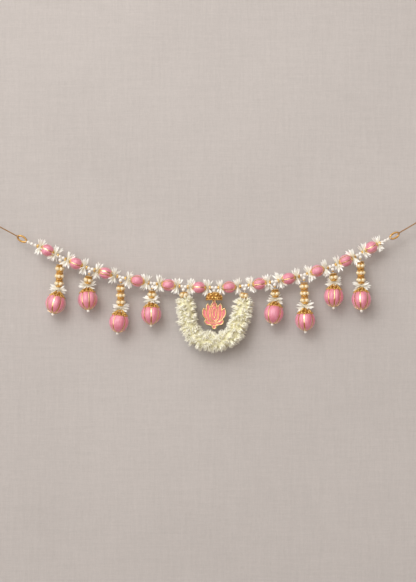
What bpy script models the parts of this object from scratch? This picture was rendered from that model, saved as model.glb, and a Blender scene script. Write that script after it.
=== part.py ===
"""Toran door hanging: a beaded string of thread-wound balls and white flowers, eight drops,
a U-shaped garland of buds and an enamelled plaque, hung from two knotted tie loops.

Metres, +Z up. The front faces -Y and X runs along the string, left to right.
The origin is midway between the two hanging loops, at their height.
"""
import math
from collections import namedtuple

import bmesh
import bpy
from mathutils import Matrix, Vector
from mathutils.geometry import interpolate_bezier

# Clearances
GAP = 0.0003
KNOT_GAP = 0.0007

# Balls strung on the main line: one row each, left to right
Ball = namedtuple("Ball", "x z")
STRING_BALLS = (
    Ball(-0.4013, -0.0713),
    Ball(-0.3300, -0.1038),
    Ball(-0.2563, -0.1275),
    Ball(-0.1763, -0.1470),
    Ball(-0.0990, -0.1575),
    Ball(-0.0225, -0.1635),
    Ball(0.0530, -0.1628),
    Ball(0.1288, -0.1545),
    Ball(0.2015, -0.1415),
    Ball(0.2733, -0.1220),
    Ball(0.3443, -0.0965),
    Ball(0.4085, -0.0638),
)
STRING_BALL_LENGTH = 0.0334
STRING_BALL_WIDTH = 0.0300
STRING_BALL_SIDES = 10
POLE_CAP_WIDTH = 0.0134
POLE_CAP_DEPTH = 0.0016
POLE_FACE_RADIUS = 0.0022
BELLY_SHARES = (0.63, 0.25)
DIP_BETWEEN_BALLS = 0.0020

# Drops: one row each, left to right. junction counts the string's gaps from the left end,
# tiers the rings of pearls, lean turns the ball's foot to the left, nod turns it forward.
Drop = namedtuple("Drop", "junction tiers x z lean nod")
DROPS = (
    Drop(1, 3, -0.3810, -0.2035, 13, 10),
    Drop(2, 1, -0.3008, -0.1938, -4, 10),
    Drop(3, 3, -0.2228, -0.2500, 8, 0),
    Drop(4, 1, -0.1418, -0.2305, 1, 4),
    Drop(8, 1, 0.1645, -0.2288, 9, 10),
    Drop(9, 3, 0.2430, -0.2458, -1, 0),
    Drop(10, 1, 0.3145, -0.1863, 2, 6),
    Drop(11, 3, 0.3835, -0.1943, 1, 14),
)
DROP_BALL_RADIUS = 0.0247
DROP_BALL_RINGS = (9, 30, 52, 76, 104, 128, 150, 171)
DROP_SIDES = 8
CAP_TOP = 0.0320
CAP_TOP_RADIUS = 0.0036
CAP_RIM = 0.0183
CAP_RIM_RADIUS = 0.0178
CAP_WALL = 0.0011
# Shares of the cap's height, measured down, and of its rim's radius
CAP_SHOULDERS = ((0.16, 0.47), (0.52, 0.80))

# Beads and flowers
THREAD_RADIUS = 0.0012
PEARL_RADIUS = 0.0040
PEARL_RING_ANGLE = math.radians(28)
PEARL_DROP = 0.0073
STRAND_TOP = 0.0022
STRAND_TOP_RADIUS = 0.0005
RONDELLE = (0.0013, 0.0044)
SPACER_DISC = (0.0014, 0.0078)
SMALL_BEAD = (0.0014, 0.0026)
PEARL_RING = (0.0026, 0.0119)
CUP = (0.0010, 0.0056)
HUB_HALF = 0.0020
HUB_RADIUS = 0.0031
PETAL_LENGTH = 0.0205
PETAL_WIDTH = 0.0060
PETAL_DEPTH = 0.0026
PETAL_WIDEST = 0.55
PETAL_LEAN = math.radians(14)
STRING_SIDES = 6
STRAND_SIDES = 5

# Main line between two balls: flowers as shares of its length, beads from its middle
FLOWER_AFTER_BALL = 0.105
FLOWER_BEFORE_BALL = 0.138
PEARL_PITCH = 0.0086
RONDELLE_FROM_PEARL = 0.0056

# Main line between an end ring and the ball beside it, packed tight; the slack of a longer
# stretch is shared out between the pearls, the rondelle and the flower
END_STRETCH = 0.0350
END_PEARL_PITCH = 0.0087
PITCH_SHARE = 0.15
RONDELLE_SHARE = 0.10
FLOWER_SHARE = 0.25
FLOWER_TO_BALL = 0.0027

# A drop's strand at its nominal length, measured down from the pearl under the string
BEAD_BELOW_PEARL = 0.0058
DISC_BELOW_PEARL = 0.0125
RING_BELOW_DISC = 0.0080
TIER_PITCH = 0.0178
CUP_BELOW_RING = 0.0052
FLOWER_BELOW_RING = 0.0128
END_BELOW_FLOWER = 0.0066

# Garland of buds, a U hung from the fifth and the seventh gap
GARLAND_JUNCTIONS = (5, 7)
GARLAND_ROUTE = (
    (-0.0600, -0.1895),
    (-0.0545, -0.2175),
    (-0.0525, -0.2400),
    (-0.0470, -0.2600),
    (-0.0365, -0.2790),
    (-0.0190, -0.2935),
    (0.0150, -0.3010),
    (0.0480, -0.2930),
    (0.0665, -0.2765),
    (0.0765, -0.2540),
    (0.0825, -0.2350),
    (0.0865, -0.2160),
    (0.0888, -0.1940),
)
GARLAND_RADIUS = 0.0238
GARLAND_BUMP = 0.0014
GARLAND_ROW = 0.0115
GARLAND_SIDES = 12
GARLAND_END = ((0.0, 0.0050), (0.0030, 0.0150), (0.0090, 0.0220))
# A hanger's ring and the gap above it, as shares of the room below its pearl
HANGER_RING = 0.42
HANGER_NECK = 0.14

# Plaque and its gold dome
PLAQUE_JUNCTION = 6
PLAQUE_THICKNESS = 0.0030
DOME_HEIGHT = 0.0180
DOME_RADIUS = 0.0198
DOME_SIDES = 10
# Shares of the dome's height, measured down, and of its radius
DOME_PROFILE = ((0.0, 0.22), (0.14, 0.58), (0.42, 0.86), (0.78, 1.0), (1.0, 0.97))
STEM_RADIUS = 0.0022
PLAQUE_HEIGHT = 0.0735
PLAQUE_TIP_REACH = 0.0267

# End rings and tie cords
Ring = namedtuple("Ring", "x z slope")
END_RINGS = {"left": Ring(-0.4650, -0.0423, -29), "right": Ring(0.4663, -0.0340, 30.5)}
RING_LENGTH = 0.0270
RING_WIDTH = 0.0156
RING_WIRE = 0.0032
CORD_DIAMETER = 0.0030
CORD_STEP = 0.0075
CORD_ROUTES = {
    "left": ((-0.47706, -0.03559), (-0.4890, -0.0289), (-0.5020, -0.0219), (-0.5150, -0.0150),
             (-0.5232, -0.0106)),
    "right": ((0.47819, -0.02700), (0.4905, -0.0198), (0.5030, -0.0126), (0.5150, -0.0055),
              (0.5232, -0.0006)),
}
KNOT_LENGTH = 0.0062
KNOT_RADIUS = 0.0033
KNOT_END_SHARE = 0.7
KNOT_SHOULDER = 0.2
LOOP_LENGTH = 0.0190
LOOP_WIDTH = 0.0125
LOOP_IN_KNOT = 0.0035

UP = Vector((0, 0, 1))
BACK = Vector((0, 1, 0))


def clear_scene():
    for item in list(bpy.data.objects):
        bpy.data.objects.remove(item, do_unlink=True)


def material(name, colour, roughness, metallic=0.0):
    made = bpy.data.materials.new(name)
    made.use_nodes = True
    shader = made.node_tree.nodes["Principled BSDF"]
    shader.inputs["Base Color"].default_value = (*colour, 1)
    shader.inputs["Roughness"].default_value = roughness
    shader.inputs["Metallic"].default_value = metallic
    return made


def finish_object(name, bm, finish):
    """Turns the bmesh into a smooth-shaded object with its faces pointing out."""
    bmesh.ops.recalc_face_normals(bm, faces=bm.faces)
    if bm.calc_volume(signed=True) < 0:
        bmesh.ops.reverse_faces(bm, faces=bm.faces)
    mesh = bpy.data.meshes.new(name)
    bm.to_mesh(mesh)
    bm.free()
    mesh.shade_smooth()
    mesh.set_sharp_from_angle(angle=math.radians(50))
    mesh.materials.append(finish)
    made = bpy.data.objects.new(name, mesh)
    bpy.context.scene.collection.objects.link(made)
    return made


def place_along(origin, axis):
    """A matrix that takes local X to the axis and keeps local Y towards the back."""
    along = axis.normalized()
    back = (BACK - along * along.y).normalized()
    turn = Matrix((along, back, along.cross(back))).transposed().to_4x4()
    return Matrix.Translation(origin) @ turn


def turned(profile, sides):
    """Spins (distance along X, radius) pairs about X, a flat side up, and closes both ends."""
    bm = bmesh.new()
    verts = [bm.verts.new((along, 0, radius)) for along, radius in profile]
    edges = [bm.edges.new(pair) for pair in zip(verts, verts[1:])]
    bmesh.ops.spin(bm, geom=verts + edges, cent=(0, 0, 0), axis=(1, 0, 0),
                   angle=math.tau, steps=sides, use_merge=True)
    rims = [edge for edge in bm.edges if edge.is_boundary]
    bmesh.ops.holes_fill(bm, edges=rims, sides=0)
    half_step = Matrix.Rotation(math.pi / sides, 4, "X")
    bmesh.ops.transform(bm, matrix=half_step, verts=bm.verts)
    return bm


def widened(profile, sides):
    """The profile with its radii grown until each section has the area of its circle."""
    growth = math.sqrt(math.tau / (sides * math.sin(math.tau / sides)))
    return [(along, radius * growth) for along, radius in profile]


def pearl(centre):
    """Each bead is its centre, its half length and its (distance, radius) rings."""
    reach = PEARL_RADIUS * math.sin(PEARL_RING_ANGLE)
    width = PEARL_RADIUS * math.cos(PEARL_RING_ANGLE)
    return centre, PEARL_RADIUS, ((centre - reach, width), (centre + reach, width))


def flat_bead(centre, sizes):
    half, radius = sizes
    return centre, half, ((centre - half, radius), (centre + half, radius))


def hub(centre):
    rings = ((centre - HUB_HALF, HUB_RADIUS), (centre, HUB_RADIUS), (centre + HUB_HALF, HUB_RADIUS))
    return centre, HUB_HALF, rings


def strung(beads, end, start_radius=THREAD_RADIUS):
    """The profile of a thread from 0 to end with beads on it, necked in between them."""
    profile = [(0, start_radius)]
    reached = 0
    for centre, half, rings in beads:
        neck = (reached + centre - half) / 2
        if neck - profile[-1][0] > GAP and profile[-1][1] > THREAD_RADIUS:
            profile.append((neck, THREAD_RADIUS))
        profile.extend(rings)
        reached = centre + half
    profile.append((end, THREAD_RADIUS))
    return profile


def petal(bm, face, lean):
    """Draws one face of a flower's hub out into a leaf-shaped petal."""
    foot = face.calc_center_median()
    out = Vector((0, foot.y, foot.z)).normalized()
    along = out * math.cos(lean) + Vector((math.sin(lean), 0, 0))
    across = Vector((1, 0, 0)).cross(out)
    through = along.cross(across)
    widest = bmesh.ops.extrude_discrete_faces(bm, faces=[face])["faces"][0]
    for vert in widest.verts:
        offset = vert.co - foot
        side = math.copysign(PETAL_WIDTH / 2, offset.dot(across))
        depth = math.copysign(PETAL_DEPTH / 2, offset.dot(through))
        vert.co = foot + along * (PETAL_WIDEST * PETAL_LENGTH) + across * side + through * depth
    tip = bmesh.ops.poke(bm, faces=[widest])["verts"][0]
    tip.co = foot + along * PETAL_LENGTH


def grow_petals(bm, centre, inner=0):
    """Petals from both rows of a hub. With inner set to -1 or 1 every other face is left,
    so that no petal on that side of the hub points straight down."""
    for side in (-1, 1):
        middle = centre + side * HUB_HALF / 2
        row = []
        for face in bm.faces:
            foot = face.calc_center_median()
            if abs(foot.x - middle) < HUB_HALF / 4 and math.hypot(foot.y, foot.z) > THREAD_RADIUS:
                row.append((math.atan2(foot.y, foot.z), face))
        step = math.tau / len(row)
        for angle, face in row:
            odd = round(angle / step) % 2 == 1
            if inner and odd == (side == inner):
                continue
            petal(bm, face, side * PETAL_LEAN)


def smooth_curve(points, steps=24):
    """A dense polyline on the smooth curve through the points."""
    points = [Vector(point) for point in points]
    first = points[0] * 2 - points[1]
    last = points[-1] * 2 - points[-2]
    ends = [first, *points, last]
    dense = [points[0]]
    for before, start, end, after in zip(ends, ends[1:], ends[2:], ends[3:]):
        lead = start + (end - before) / 6
        trail = end - (after - start) / 6
        dense.extend(interpolate_bezier(start, lead, trail, end, steps)[1:])
    return dense


class Path:
    """Reads points and directions off a dense polyline by the length run along it."""

    def __init__(self, dense):
        self.points = dense
        self.runs = [0.0]
        for start, end in zip(dense, dense[1:]):
            self.runs.append(self.runs[-1] + (end - start).length)
        self.length = self.runs[-1]

    def direction(self, index):
        before = self.points[max(index - 1, 0)]
        after = self.points[min(index + 1, len(self.points) - 1)]
        return (after - before).normalized()

    def at(self, run):
        """The point and direction at a run; past either end the path goes straight on."""
        if run <= 0:
            return self.points[0] + self.direction(0) * run, self.direction(0)
        if run >= self.length:
            last = len(self.points) - 1
            return self.points[-1] + self.direction(last) * (run - self.length), self.direction(last)
        index = next(i for i, end in enumerate(self.runs) if end > run) - 1
        share = (run - self.runs[index]) / (self.runs[index + 1] - self.runs[index])
        place = self.points[index].lerp(self.points[index + 1], share)
        heading = self.direction(index).lerp(self.direction(index + 1), share)
        return place, heading.normalized()


def bend(bm, path):
    """Carries a shape modelled along X onto the path, its local Z staying the upper side."""
    for vert in bm.verts:
        place, heading = path.at(vert.co.x)
        upper = heading.cross(BACK)
        vert.co = place + BACK * vert.co.y + upper * vert.co.z


def flat_point(x, z):
    return Vector((x, 0, z))


def ring_axis(ring):
    """The direction of an end ring's long side, away from the beads."""
    slope = math.radians(ring.slope)
    away = -1 if ring.x < 0 else 1
    return Vector((away * math.cos(slope), 0, away * math.sin(slope)))


def ring_end(ring, away):
    """The tip of a ring's long side: away from the beads with 1, on their side with -1."""
    return flat_point(ring.x, ring.z) + ring_axis(ring) * (away * RING_LENGTH / 2)


def junction_points():
    """The middle of each gap between two balls, and the beads' side of each end ring."""
    middles = [ring_end(END_RINGS["left"], -1)]
    for ball, after in zip(STRING_BALLS, STRING_BALLS[1:]):
        height = (ball.z + after.z) / 2 - DIP_BETWEEN_BALLS
        middles.append(flat_point((ball.x + after.x) / 2, height))
    middles.append(ring_end(END_RINGS["right"], -1))
    return middles


def ball_axes(junctions):
    return [(after - before).normalized() for before, after in zip(junctions, junctions[1:])]


def string_ball(name, ball, axis, finish):
    half = STRING_BALL_LENGTH / 2
    radius = STRING_BALL_WIDTH / 2
    cap_edge = half - POLE_CAP_DEPTH
    belly = []
    for share in BELLY_SHARES:
        along = half * share
        belly.append((along, radius * math.sqrt(1 - share ** 2)))
    right = [(half, POLE_FACE_RADIUS), (cap_edge, POLE_CAP_WIDTH / 2), *belly]
    left = [(-along, width) for along, width in right]
    profile = widened([*left, *reversed(right)], STRING_BALL_SIDES)
    bm = turned(profile, STRING_BALL_SIDES)
    bm.transform(place_along(flat_point(ball.x, ball.z), axis))
    return finish_object(name, bm, finish)


def string_paths(junctions, axes):
    """The thread's path in every gap: ring to first ball, ball to ball, last ball to ring."""
    reach = STRING_BALL_LENGTH / 2 + GAP
    starts = []
    ends = []
    for ball, axis in zip(STRING_BALLS, axes):
        centre = flat_point(ball.x, ball.z)
        ends.append((centre - axis * reach, axis))
        starts.append((centre + axis * reach, axis))
    left = ring_axis(END_RINGS["left"])
    right = ring_axis(END_RINGS["right"])
    starts.insert(0, (junctions[0] - left * GAP, -left))
    ends.append((junctions[-1] - right * GAP, right))
    paths = []
    for (start, lead), (end, trail) in zip(starts, ends):
        pull = (end - start).length / 3
        dense = interpolate_bezier(start, start + lead * pull, end - trail * pull, end, 48)
        paths.append(Path(dense))
    return paths


def middle_strand(name, path, finish):
    """Flower, rondelle, two pearls, rondelle and flower on the thread between two balls."""
    middle = path.length / 2
    first = middle - PEARL_PITCH / 2
    second = middle + PEARL_PITCH / 2
    flowers = (FLOWER_AFTER_BALL * path.length, (1 - FLOWER_BEFORE_BALL) * path.length)
    beads = (
        hub(flowers[0]),
        flat_bead(first - RONDELLE_FROM_PEARL, RONDELLE),
        pearl(first),
        pearl(second),
        flat_bead(second + RONDELLE_FROM_PEARL, RONDELLE),
        hub(flowers[1]),
    )
    bm = turned(strung(beads, path.length), STRING_SIDES)
    grow_petals(bm, flowers[0], inner=1)
    grow_petals(bm, flowers[1], inner=-1)
    bend(bm, path)
    return finish_object(name, bm, finish)


def end_strand(name, path, ring_first, finish):
    """Three pearls, a rondelle and a flower between an end ring and the ball beside it."""
    slack = path.length - END_STRETCH
    pitch = END_PEARL_PITCH + PITCH_SHARE * slack
    runs = [PEARL_RADIUS + GAP + pitch * count for count in range(3)]
    rondelle = runs[-1] + RONDELLE_FROM_PEARL + RONDELLE_SHARE * slack
    flower = path.length - FLOWER_TO_BALL - FLOWER_SHARE * slack
    beads = [*map(pearl, runs), flat_bead(rondelle, RONDELLE), hub(flower)]
    profile = strung(beads, path.length)
    if not ring_first:
        profile = [(path.length - run, radius) for run, radius in reversed(profile)]
        flower = path.length - flower
    bm = turned(profile, STRING_SIDES)
    grow_petals(bm, flower, inner=-1 if ring_first else 1)
    bend(bm, path)
    return finish_object(name, bm, finish)


def foot_direction(drop):
    """The way from a drop's ball centre to its foot."""
    lean = math.radians(drop.lean)
    nod = math.radians(drop.nod)
    level = math.cos(nod)
    return Vector((-math.sin(lean) * level, -math.sin(nod), -math.cos(lean) * level))


def hanging_path(string_path, end):
    """The path of what hangs in the middle of a gap: square off the string, then to its end."""
    junction, heading = string_path.at(string_path.length / 2)
    under = BACK.cross(heading)
    pearl_centre = junction + under * PEARL_DROP
    points = (junction + under * STRAND_TOP, pearl_centre, pearl_centre.lerp(end, 0.5), end)
    return Path(smooth_curve(points))


def drop_strand(name, drop, string_path, finish):
    """The pearl under the string, its tiers of pearl rings and the flower on the cap."""
    cap_top = flat_point(drop.x, drop.z) - foot_direction(drop) * (CAP_TOP + KNOT_GAP)
    path = hanging_path(string_path, cap_top)
    first = PEARL_DROP - STRAND_TOP
    last_ring = DISC_BELOW_PEARL + RING_BELOW_DISC + TIER_PITCH * (drop.tiers - 1)
    fit = (path.length - first) / (last_ring + FLOWER_BELOW_RING + END_BELOW_FLOWER)

    def place(below_pearl):
        return first + below_pearl * fit

    beads = [pearl(first), flat_bead(place(BEAD_BELOW_PEARL), SMALL_BEAD)]
    for tier in range(drop.tiers):
        disc = DISC_BELOW_PEARL + TIER_PITCH * tier
        ring = place(disc + RING_BELOW_DISC)
        beads += [flat_bead(place(disc), SPACER_DISC), flat_bead(ring, PEARL_RING),
                  flat_bead(ring + CUP_BELOW_RING, CUP)]
    flower = place(last_ring + FLOWER_BELOW_RING)
    beads.append(hub(flower))
    bm = turned(strung(beads, path.length, STRAND_TOP_RADIUS), STRAND_SIDES)
    grow_petals(bm, flower)
    bend(bm, path)
    return finish_object(name, bm, finish)


def drop_cap(name, drop, finish):
    """A thin bell-shaped cap over the ball's top, measured up from the ball's centre."""
    shoulders = [(CAP_TOP - down * (CAP_TOP - CAP_RIM), out * CAP_RIM_RADIUS)
                 for down, out in CAP_SHOULDERS]
    outer = [(CAP_TOP, CAP_TOP_RADIUS), *shoulders, (CAP_RIM + CAP_WALL, CAP_RIM_RADIUS)]
    rim = [(CAP_RIM, CAP_RIM_RADIUS), (CAP_RIM, CAP_RIM_RADIUS - CAP_WALL)]
    inner = [(along - CAP_WALL, radius - CAP_WALL) for along, radius in reversed(shoulders)]
    bm = turned(widened([*outer, *rim, *inner], DROP_SIDES), DROP_SIDES)
    bm.transform(place_along(flat_point(drop.x, drop.z), -foot_direction(drop)))
    return finish_object(name, bm, finish)


def drop_ball(name, drop, finish):
    """A wound ball with the small pearl that closes its foot, measured up from its centre."""
    profile = []
    for degrees in DROP_BALL_RINGS:
        angle = math.radians(degrees)
        profile.append((DROP_BALL_RADIUS * math.cos(angle), DROP_BALL_RADIUS * math.sin(angle)))
    neck = -DROP_BALL_RADIUS
    _, _, rings = pearl(neck - PEARL_RADIUS)
    profile.append((neck, THREAD_RADIUS))
    profile += [(along, width) for along, width in reversed(rings)]
    profile.append((neck - 2 * PEARL_RADIUS, THREAD_RADIUS))
    bm = turned(widened(profile, DROP_SIDES), DROP_SIDES)
    bm.transform(place_along(flat_point(drop.x, drop.z), -foot_direction(drop)))
    return finish_object(name, bm, finish)


def garland_hanger(name, string_path, end, finish):
    """The pearl, disc and pearl ring that carry one end of the garland."""
    path = hanging_path(string_path, end + UP * KNOT_GAP)
    first = PEARL_DROP - STRAND_TOP
    room = path.length - first - PEARL_RADIUS
    ring = path.length - HANGER_RING * room
    disc = ring - PEARL_RING[0] - SPACER_DISC[0] - HANGER_NECK * room
    beads = [pearl(first), flat_bead(disc, SPACER_DISC), flat_bead(ring, PEARL_RING)]
    bm = turned(strung(beads, path.length, STRAND_TOP_RADIUS), STRAND_SIDES)
    bend(bm, path)
    return finish_object(name, bm, finish)


def bud_garland(name, finish):
    """A round tube on the U, its skin raised and sunk bud by bud."""
    path = Path(smooth_curve([(x, 0, z) for x, z in GARLAND_ROUTE]))
    rows = round((path.length - 2 * GARLAND_END[-1][0]) / GARLAND_ROW)
    first = GARLAND_END[-1][0]
    pitch = (path.length - 2 * first) / rows
    body = [(first + pitch * row, GARLAND_RADIUS) for row in range(1, rows)]
    tail = [(path.length - run, radius) for run, radius in reversed(GARLAND_END)]
    bm = turned([*GARLAND_END, *body, *tail], GARLAND_SIDES)
    for vert in bm.verts:
        radius = math.hypot(vert.co.y, vert.co.z)
        if radius < GARLAND_RADIUS - GAP:
            continue
        row = round((vert.co.x - first) / pitch)
        column = round(math.atan2(vert.co.y, vert.co.z) / (math.tau / GARLAND_SIDES) - 0.5)
        bump = GARLAND_BUMP if (row + column) % 2 else -GARLAND_BUMP
        vert.co.y *= 1 + bump / radius
        vert.co.z *= 1 + bump / radius
    bend(bm, path)
    return finish_object(name, bm, finish)


def plaque_hanger(name, string_path, finish):
    """The pearl under the string, the gold dome below it and the stem that meets the plaque.
    Gives the place where the stem ends."""
    junction, _ = string_path.at(string_path.length / 2)
    top = junction - UP * STRAND_TOP
    first = PEARL_DROP - STRAND_TOP
    crown = first + PEARL_RADIUS + GAP
    rim = crown + DOME_HEIGHT
    _, _, rings = pearl(first)
    outer = [(crown + down * DOME_HEIGHT, out * DOME_RADIUS) for down, out in DOME_PROFILE]
    _, shoulder, middle, _, lip = outer
    inner = [(rim, lip[1] - CAP_WALL)]
    inner += [(along + CAP_WALL, radius - CAP_WALL) for along, radius in (middle, shoulder)]
    stem = [(shoulder[0] + CAP_WALL, STEM_RADIUS), (rim, STEM_RADIUS)]
    thread = [(0, STRAND_TOP_RADIUS), *rings, (first + PEARL_RADIUS, THREAD_RADIUS)]
    bm = turned([*thread, *outer, *inner, *stem], DOME_SIDES)
    bm.transform(place_along(top, -UP))
    finish_object(name, bm, finish)
    return top - UP * rim


def arc(start, end, bulge, steps):
    """Points after start up to end on an arc that stands out to the left by bulge times the chord."""
    chord = end - start
    side = Vector((-chord.y, chord.x))
    points = []
    for step in range(1, steps + 1):
        share = step / steps
        points.append(start + chord * share + side * (4 * bulge * share * (1 - share)))
    return points


def plaque_outline():
    """The right half of a lotus plate, from its top tab down to its foot, as (x, z) below the top.
    Each row ends an edge: across and down as shares of the plate's tip reach and height."""
    Edge = namedtuple("Edge", "across down bulge steps")
    edges = (
        Edge(0.13, 0.075, 0.35, 4),
        Edge(0.34, 0.250, 0.10, 3),
        Edge(0.60, 0.120, 0.12, 3),
        Edge(0.70, 0.360, 0.16, 4),
        Edge(1.00, 0.275, 0.10, 3),
        Edge(0.80, 0.660, 0.20, 5),
        Edge(0.92, 0.735, 0.06, 2),
        Edge(0.45, 0.860, 0.22, 4),
        Edge(0.20, 0.880, -0.12, 2),
        Edge(0.0, 1.000, 0.28, 4),
    )
    points = [Vector((0, 0))]
    for edge in edges:
        end = Vector((edge.across * PLAQUE_TIP_REACH, -edge.down * PLAQUE_HEIGHT))
        points += arc(points[-1], end, edge.bulge, edge.steps)
    return points


def plaque(name, top, finish):
    """A flat lotus plate, the same on the left as on the right."""
    right = plaque_outline()
    left = [Vector((-point.x, point.y)) for point in reversed(right[1:-1])]
    bm = bmesh.new()
    front = -PLAQUE_THICKNESS / 2
    verts = [bm.verts.new(top + Vector((point.x, front, point.y))) for point in right + left]
    face = bm.faces.new(verts)
    raised = bmesh.ops.extrude_face_region(bm, geom=[face])["geom"]
    backs = [item for item in raised if isinstance(item, bmesh.types.BMVert)]
    bmesh.ops.translate(bm, verts=backs, vec=(0, PLAQUE_THICKNESS, 0))
    return finish_object(name, bm, finish)


def oval_ring(centre, axis, length, width, wire, segments, sides):
    """A closed oval of wire, its long side on the axis and its eye open to the front."""
    bm = bmesh.new()
    spin_radius = length
    shift = Matrix.Translation((spin_radius, 0, 0))
    section = bmesh.ops.create_circle(bm, segments=sides, radius=wire / 2, matrix=shift)["verts"]
    edges = {edge for vert in section for edge in vert.link_edges}
    bmesh.ops.spin(bm, geom=[*section, *edges], cent=(0, 0, 0), axis=(0, 1, 0),
                   angle=math.tau, steps=segments, use_merge=True)
    long_half = (length - wire) / 2
    short_half = (width - wire) / 2
    for vert in bm.verts:
        angle = math.atan2(vert.co.z, vert.co.x)
        offset = math.hypot(vert.co.x, vert.co.z) - spin_radius
        middle = Vector((long_half * math.cos(angle), 0, short_half * math.sin(angle)))
        normal = Vector((math.cos(angle) / long_half, 0, math.sin(angle) / short_half)).normalized()
        vert.co = middle + normal * offset + Vector((0, vert.co.y, 0))
    bm.transform(place_along(centre, axis))
    return bm


def end_ring(name, ring, finish):
    centre = flat_point(ring.x, ring.z)
    bm = oval_ring(centre, ring_axis(ring), RING_LENGTH, RING_WIDTH, RING_WIRE, 18, 6)
    return finish_object(name, bm, finish)


def tie_cord(name, route, finish):
    """The taut cord from an end ring to its knot, as a round tube with closed ends."""
    path = Path(smooth_curve([(x, 0, z) for x, z in route]))
    count = round(path.length / CORD_STEP)
    curve = bpy.data.curves.new(name, "CURVE")
    curve.dimensions = "3D"
    curve.bevel_depth = CORD_DIAMETER / 2
    curve.bevel_resolution = 2
    curve.use_fill_caps = True
    spline = curve.splines.new("POLY")
    spline.points.add(count)
    for step, point in enumerate(spline.points):
        place, _ = path.at(path.length * step / count)
        point.co = (*place, 1)
    curve.materials.append(finish)
    made = bpy.data.objects.new(name, curve)
    bpy.context.scene.collection.objects.link(made)
    return made


def tie_loop(name, route, finish):
    """The knot at the tie cord's far end and the eye that goes over a nail, as one body."""
    path = Path(smooth_curve([(x, 0, z) for x, z in route]))
    end, heading = path.at(path.length)
    start = end + heading * GAP
    shoulder = KNOT_SHOULDER * KNOT_LENGTH
    end_radius = KNOT_END_SHARE * KNOT_RADIUS
    barrel = ((0, end_radius), (shoulder, KNOT_RADIUS), (KNOT_LENGTH - shoulder, KNOT_RADIUS),
              (KNOT_LENGTH, end_radius))
    knot = turned(barrel, 8)
    knot.transform(place_along(start, heading))
    knot_object = finish_object(name + "_knot", knot, finish)
    knot_object.hide_render = True
    knot_object.display_type = "WIRE"
    centre = start + heading * (KNOT_LENGTH - LOOP_IN_KNOT + LOOP_LENGTH / 2)
    eye = oval_ring(centre, heading, LOOP_LENGTH, LOOP_WIDTH, CORD_DIAMETER, 16, 6)
    made = finish_object(name, eye, finish)
    union = made.modifiers.new("Knot", "BOOLEAN")
    union.operation = "UNION"
    union.solver = "EXACT"
    union.object = knot_object
    return made


def main():
    clear_scene()
    pink = material("Pink_thread", (0.86, 0.33, 0.44), 0.55)
    white = material("White_flower", (0.90, 0.89, 0.83), 0.6)
    cream = material("Cream_buds", (0.88, 0.86, 0.70), 0.65)
    gold = material("Gold_metal", (0.80, 0.56, 0.20), 0.3, 1.0)
    champagne = material("Champagne_pearl", (0.86, 0.74, 0.52), 0.25)
    enamel = material("Pink_enamel", (0.90, 0.35, 0.38), 0.2)
    cord = material("Tie_cord", (0.55, 0.38, 0.22), 0.7)

    junctions = junction_points()
    axes = ball_axes(junctions)
    for count, (ball, axis) in enumerate(zip(STRING_BALLS, axes), 1):
        string_ball(f"string_ball_{count:02d}", ball, axis, pink)
    paths = string_paths(junctions, axes)
    end_strand("string_end_left", paths[0], True, white)
    end_strand("string_end_right", paths[-1], False, white)
    for count, path in enumerate(paths[1:-1], 1):
        middle_strand(f"string_strand_{count:02d}", path, white)

    for count, drop in enumerate(DROPS, 1):
        drop_strand(f"drop_strand_{count}", drop, paths[drop.junction], champagne)
        drop_cap(f"drop_cap_{count}", drop, gold)
        drop_ball(f"drop_ball_{count}", drop, pink)

    garland_ends = (GARLAND_ROUTE[0], GARLAND_ROUTE[-1])
    for side, junction, end in zip(("left", "right"), GARLAND_JUNCTIONS, garland_ends):
        garland_hanger(f"garland_hanger_{side}", paths[junction], flat_point(*end), champagne)
    bud_garland("bud_garland", cream)

    stem_end = plaque_hanger("plaque_hanger", paths[PLAQUE_JUNCTION], gold)
    plaque("plaque", stem_end - UP * GAP, enamel)

    for side, ring in END_RINGS.items():
        end_ring(f"end_ring_{side}", ring, gold)
        tie_cord(f"tie_cord_{side}", CORD_ROUTES[side], cord)
        tie_loop(f"tie_loop_{side}", CORD_ROUTES[side], cord)


main()
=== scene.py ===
"""Toran door hanging: thread-wound balls, petal tufts, pearls, gilt beads, a garland of buds and
an enamelled lotus plaque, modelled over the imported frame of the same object.

Metres, +Z up, the front faces -Y.
"""
import math
import random
from collections import namedtuple

import bmesh
import bpy
from bpy.props import (BoolProperty, FloatProperty, FloatVectorProperty, IntProperty,
                       PointerProperty)
from mathutils import Matrix, Vector
from mathutils.geometry import interpolate_bezier


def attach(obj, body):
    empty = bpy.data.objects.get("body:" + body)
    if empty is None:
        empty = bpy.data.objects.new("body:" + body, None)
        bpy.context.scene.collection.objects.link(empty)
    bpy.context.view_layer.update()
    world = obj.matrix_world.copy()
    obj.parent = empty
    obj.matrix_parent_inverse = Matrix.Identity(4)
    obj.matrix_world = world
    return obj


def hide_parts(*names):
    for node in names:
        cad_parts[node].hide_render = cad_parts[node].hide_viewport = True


bl_info = {
    "name": "Toran Door Hanging",
    "version": (1, 0, 0),
    "blender": (4, 5, 0),
    "location": "View3D > Sidebar > Toran",
    "description": "Builds a beaded toran door hanging over its packed frame",
    "category": "Add Mesh",
}

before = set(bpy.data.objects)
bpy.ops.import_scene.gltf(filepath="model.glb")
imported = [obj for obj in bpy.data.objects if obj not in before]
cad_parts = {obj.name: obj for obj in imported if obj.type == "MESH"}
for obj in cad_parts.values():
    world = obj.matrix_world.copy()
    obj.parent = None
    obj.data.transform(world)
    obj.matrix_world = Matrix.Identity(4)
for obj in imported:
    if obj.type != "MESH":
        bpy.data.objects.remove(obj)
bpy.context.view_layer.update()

FRONT = Vector((0, -1, 0))
BACK = Vector((0, 1, 0))
UP = Vector((0, 0, 1))
RIGHT = Vector((1, 0, 0))

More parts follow.
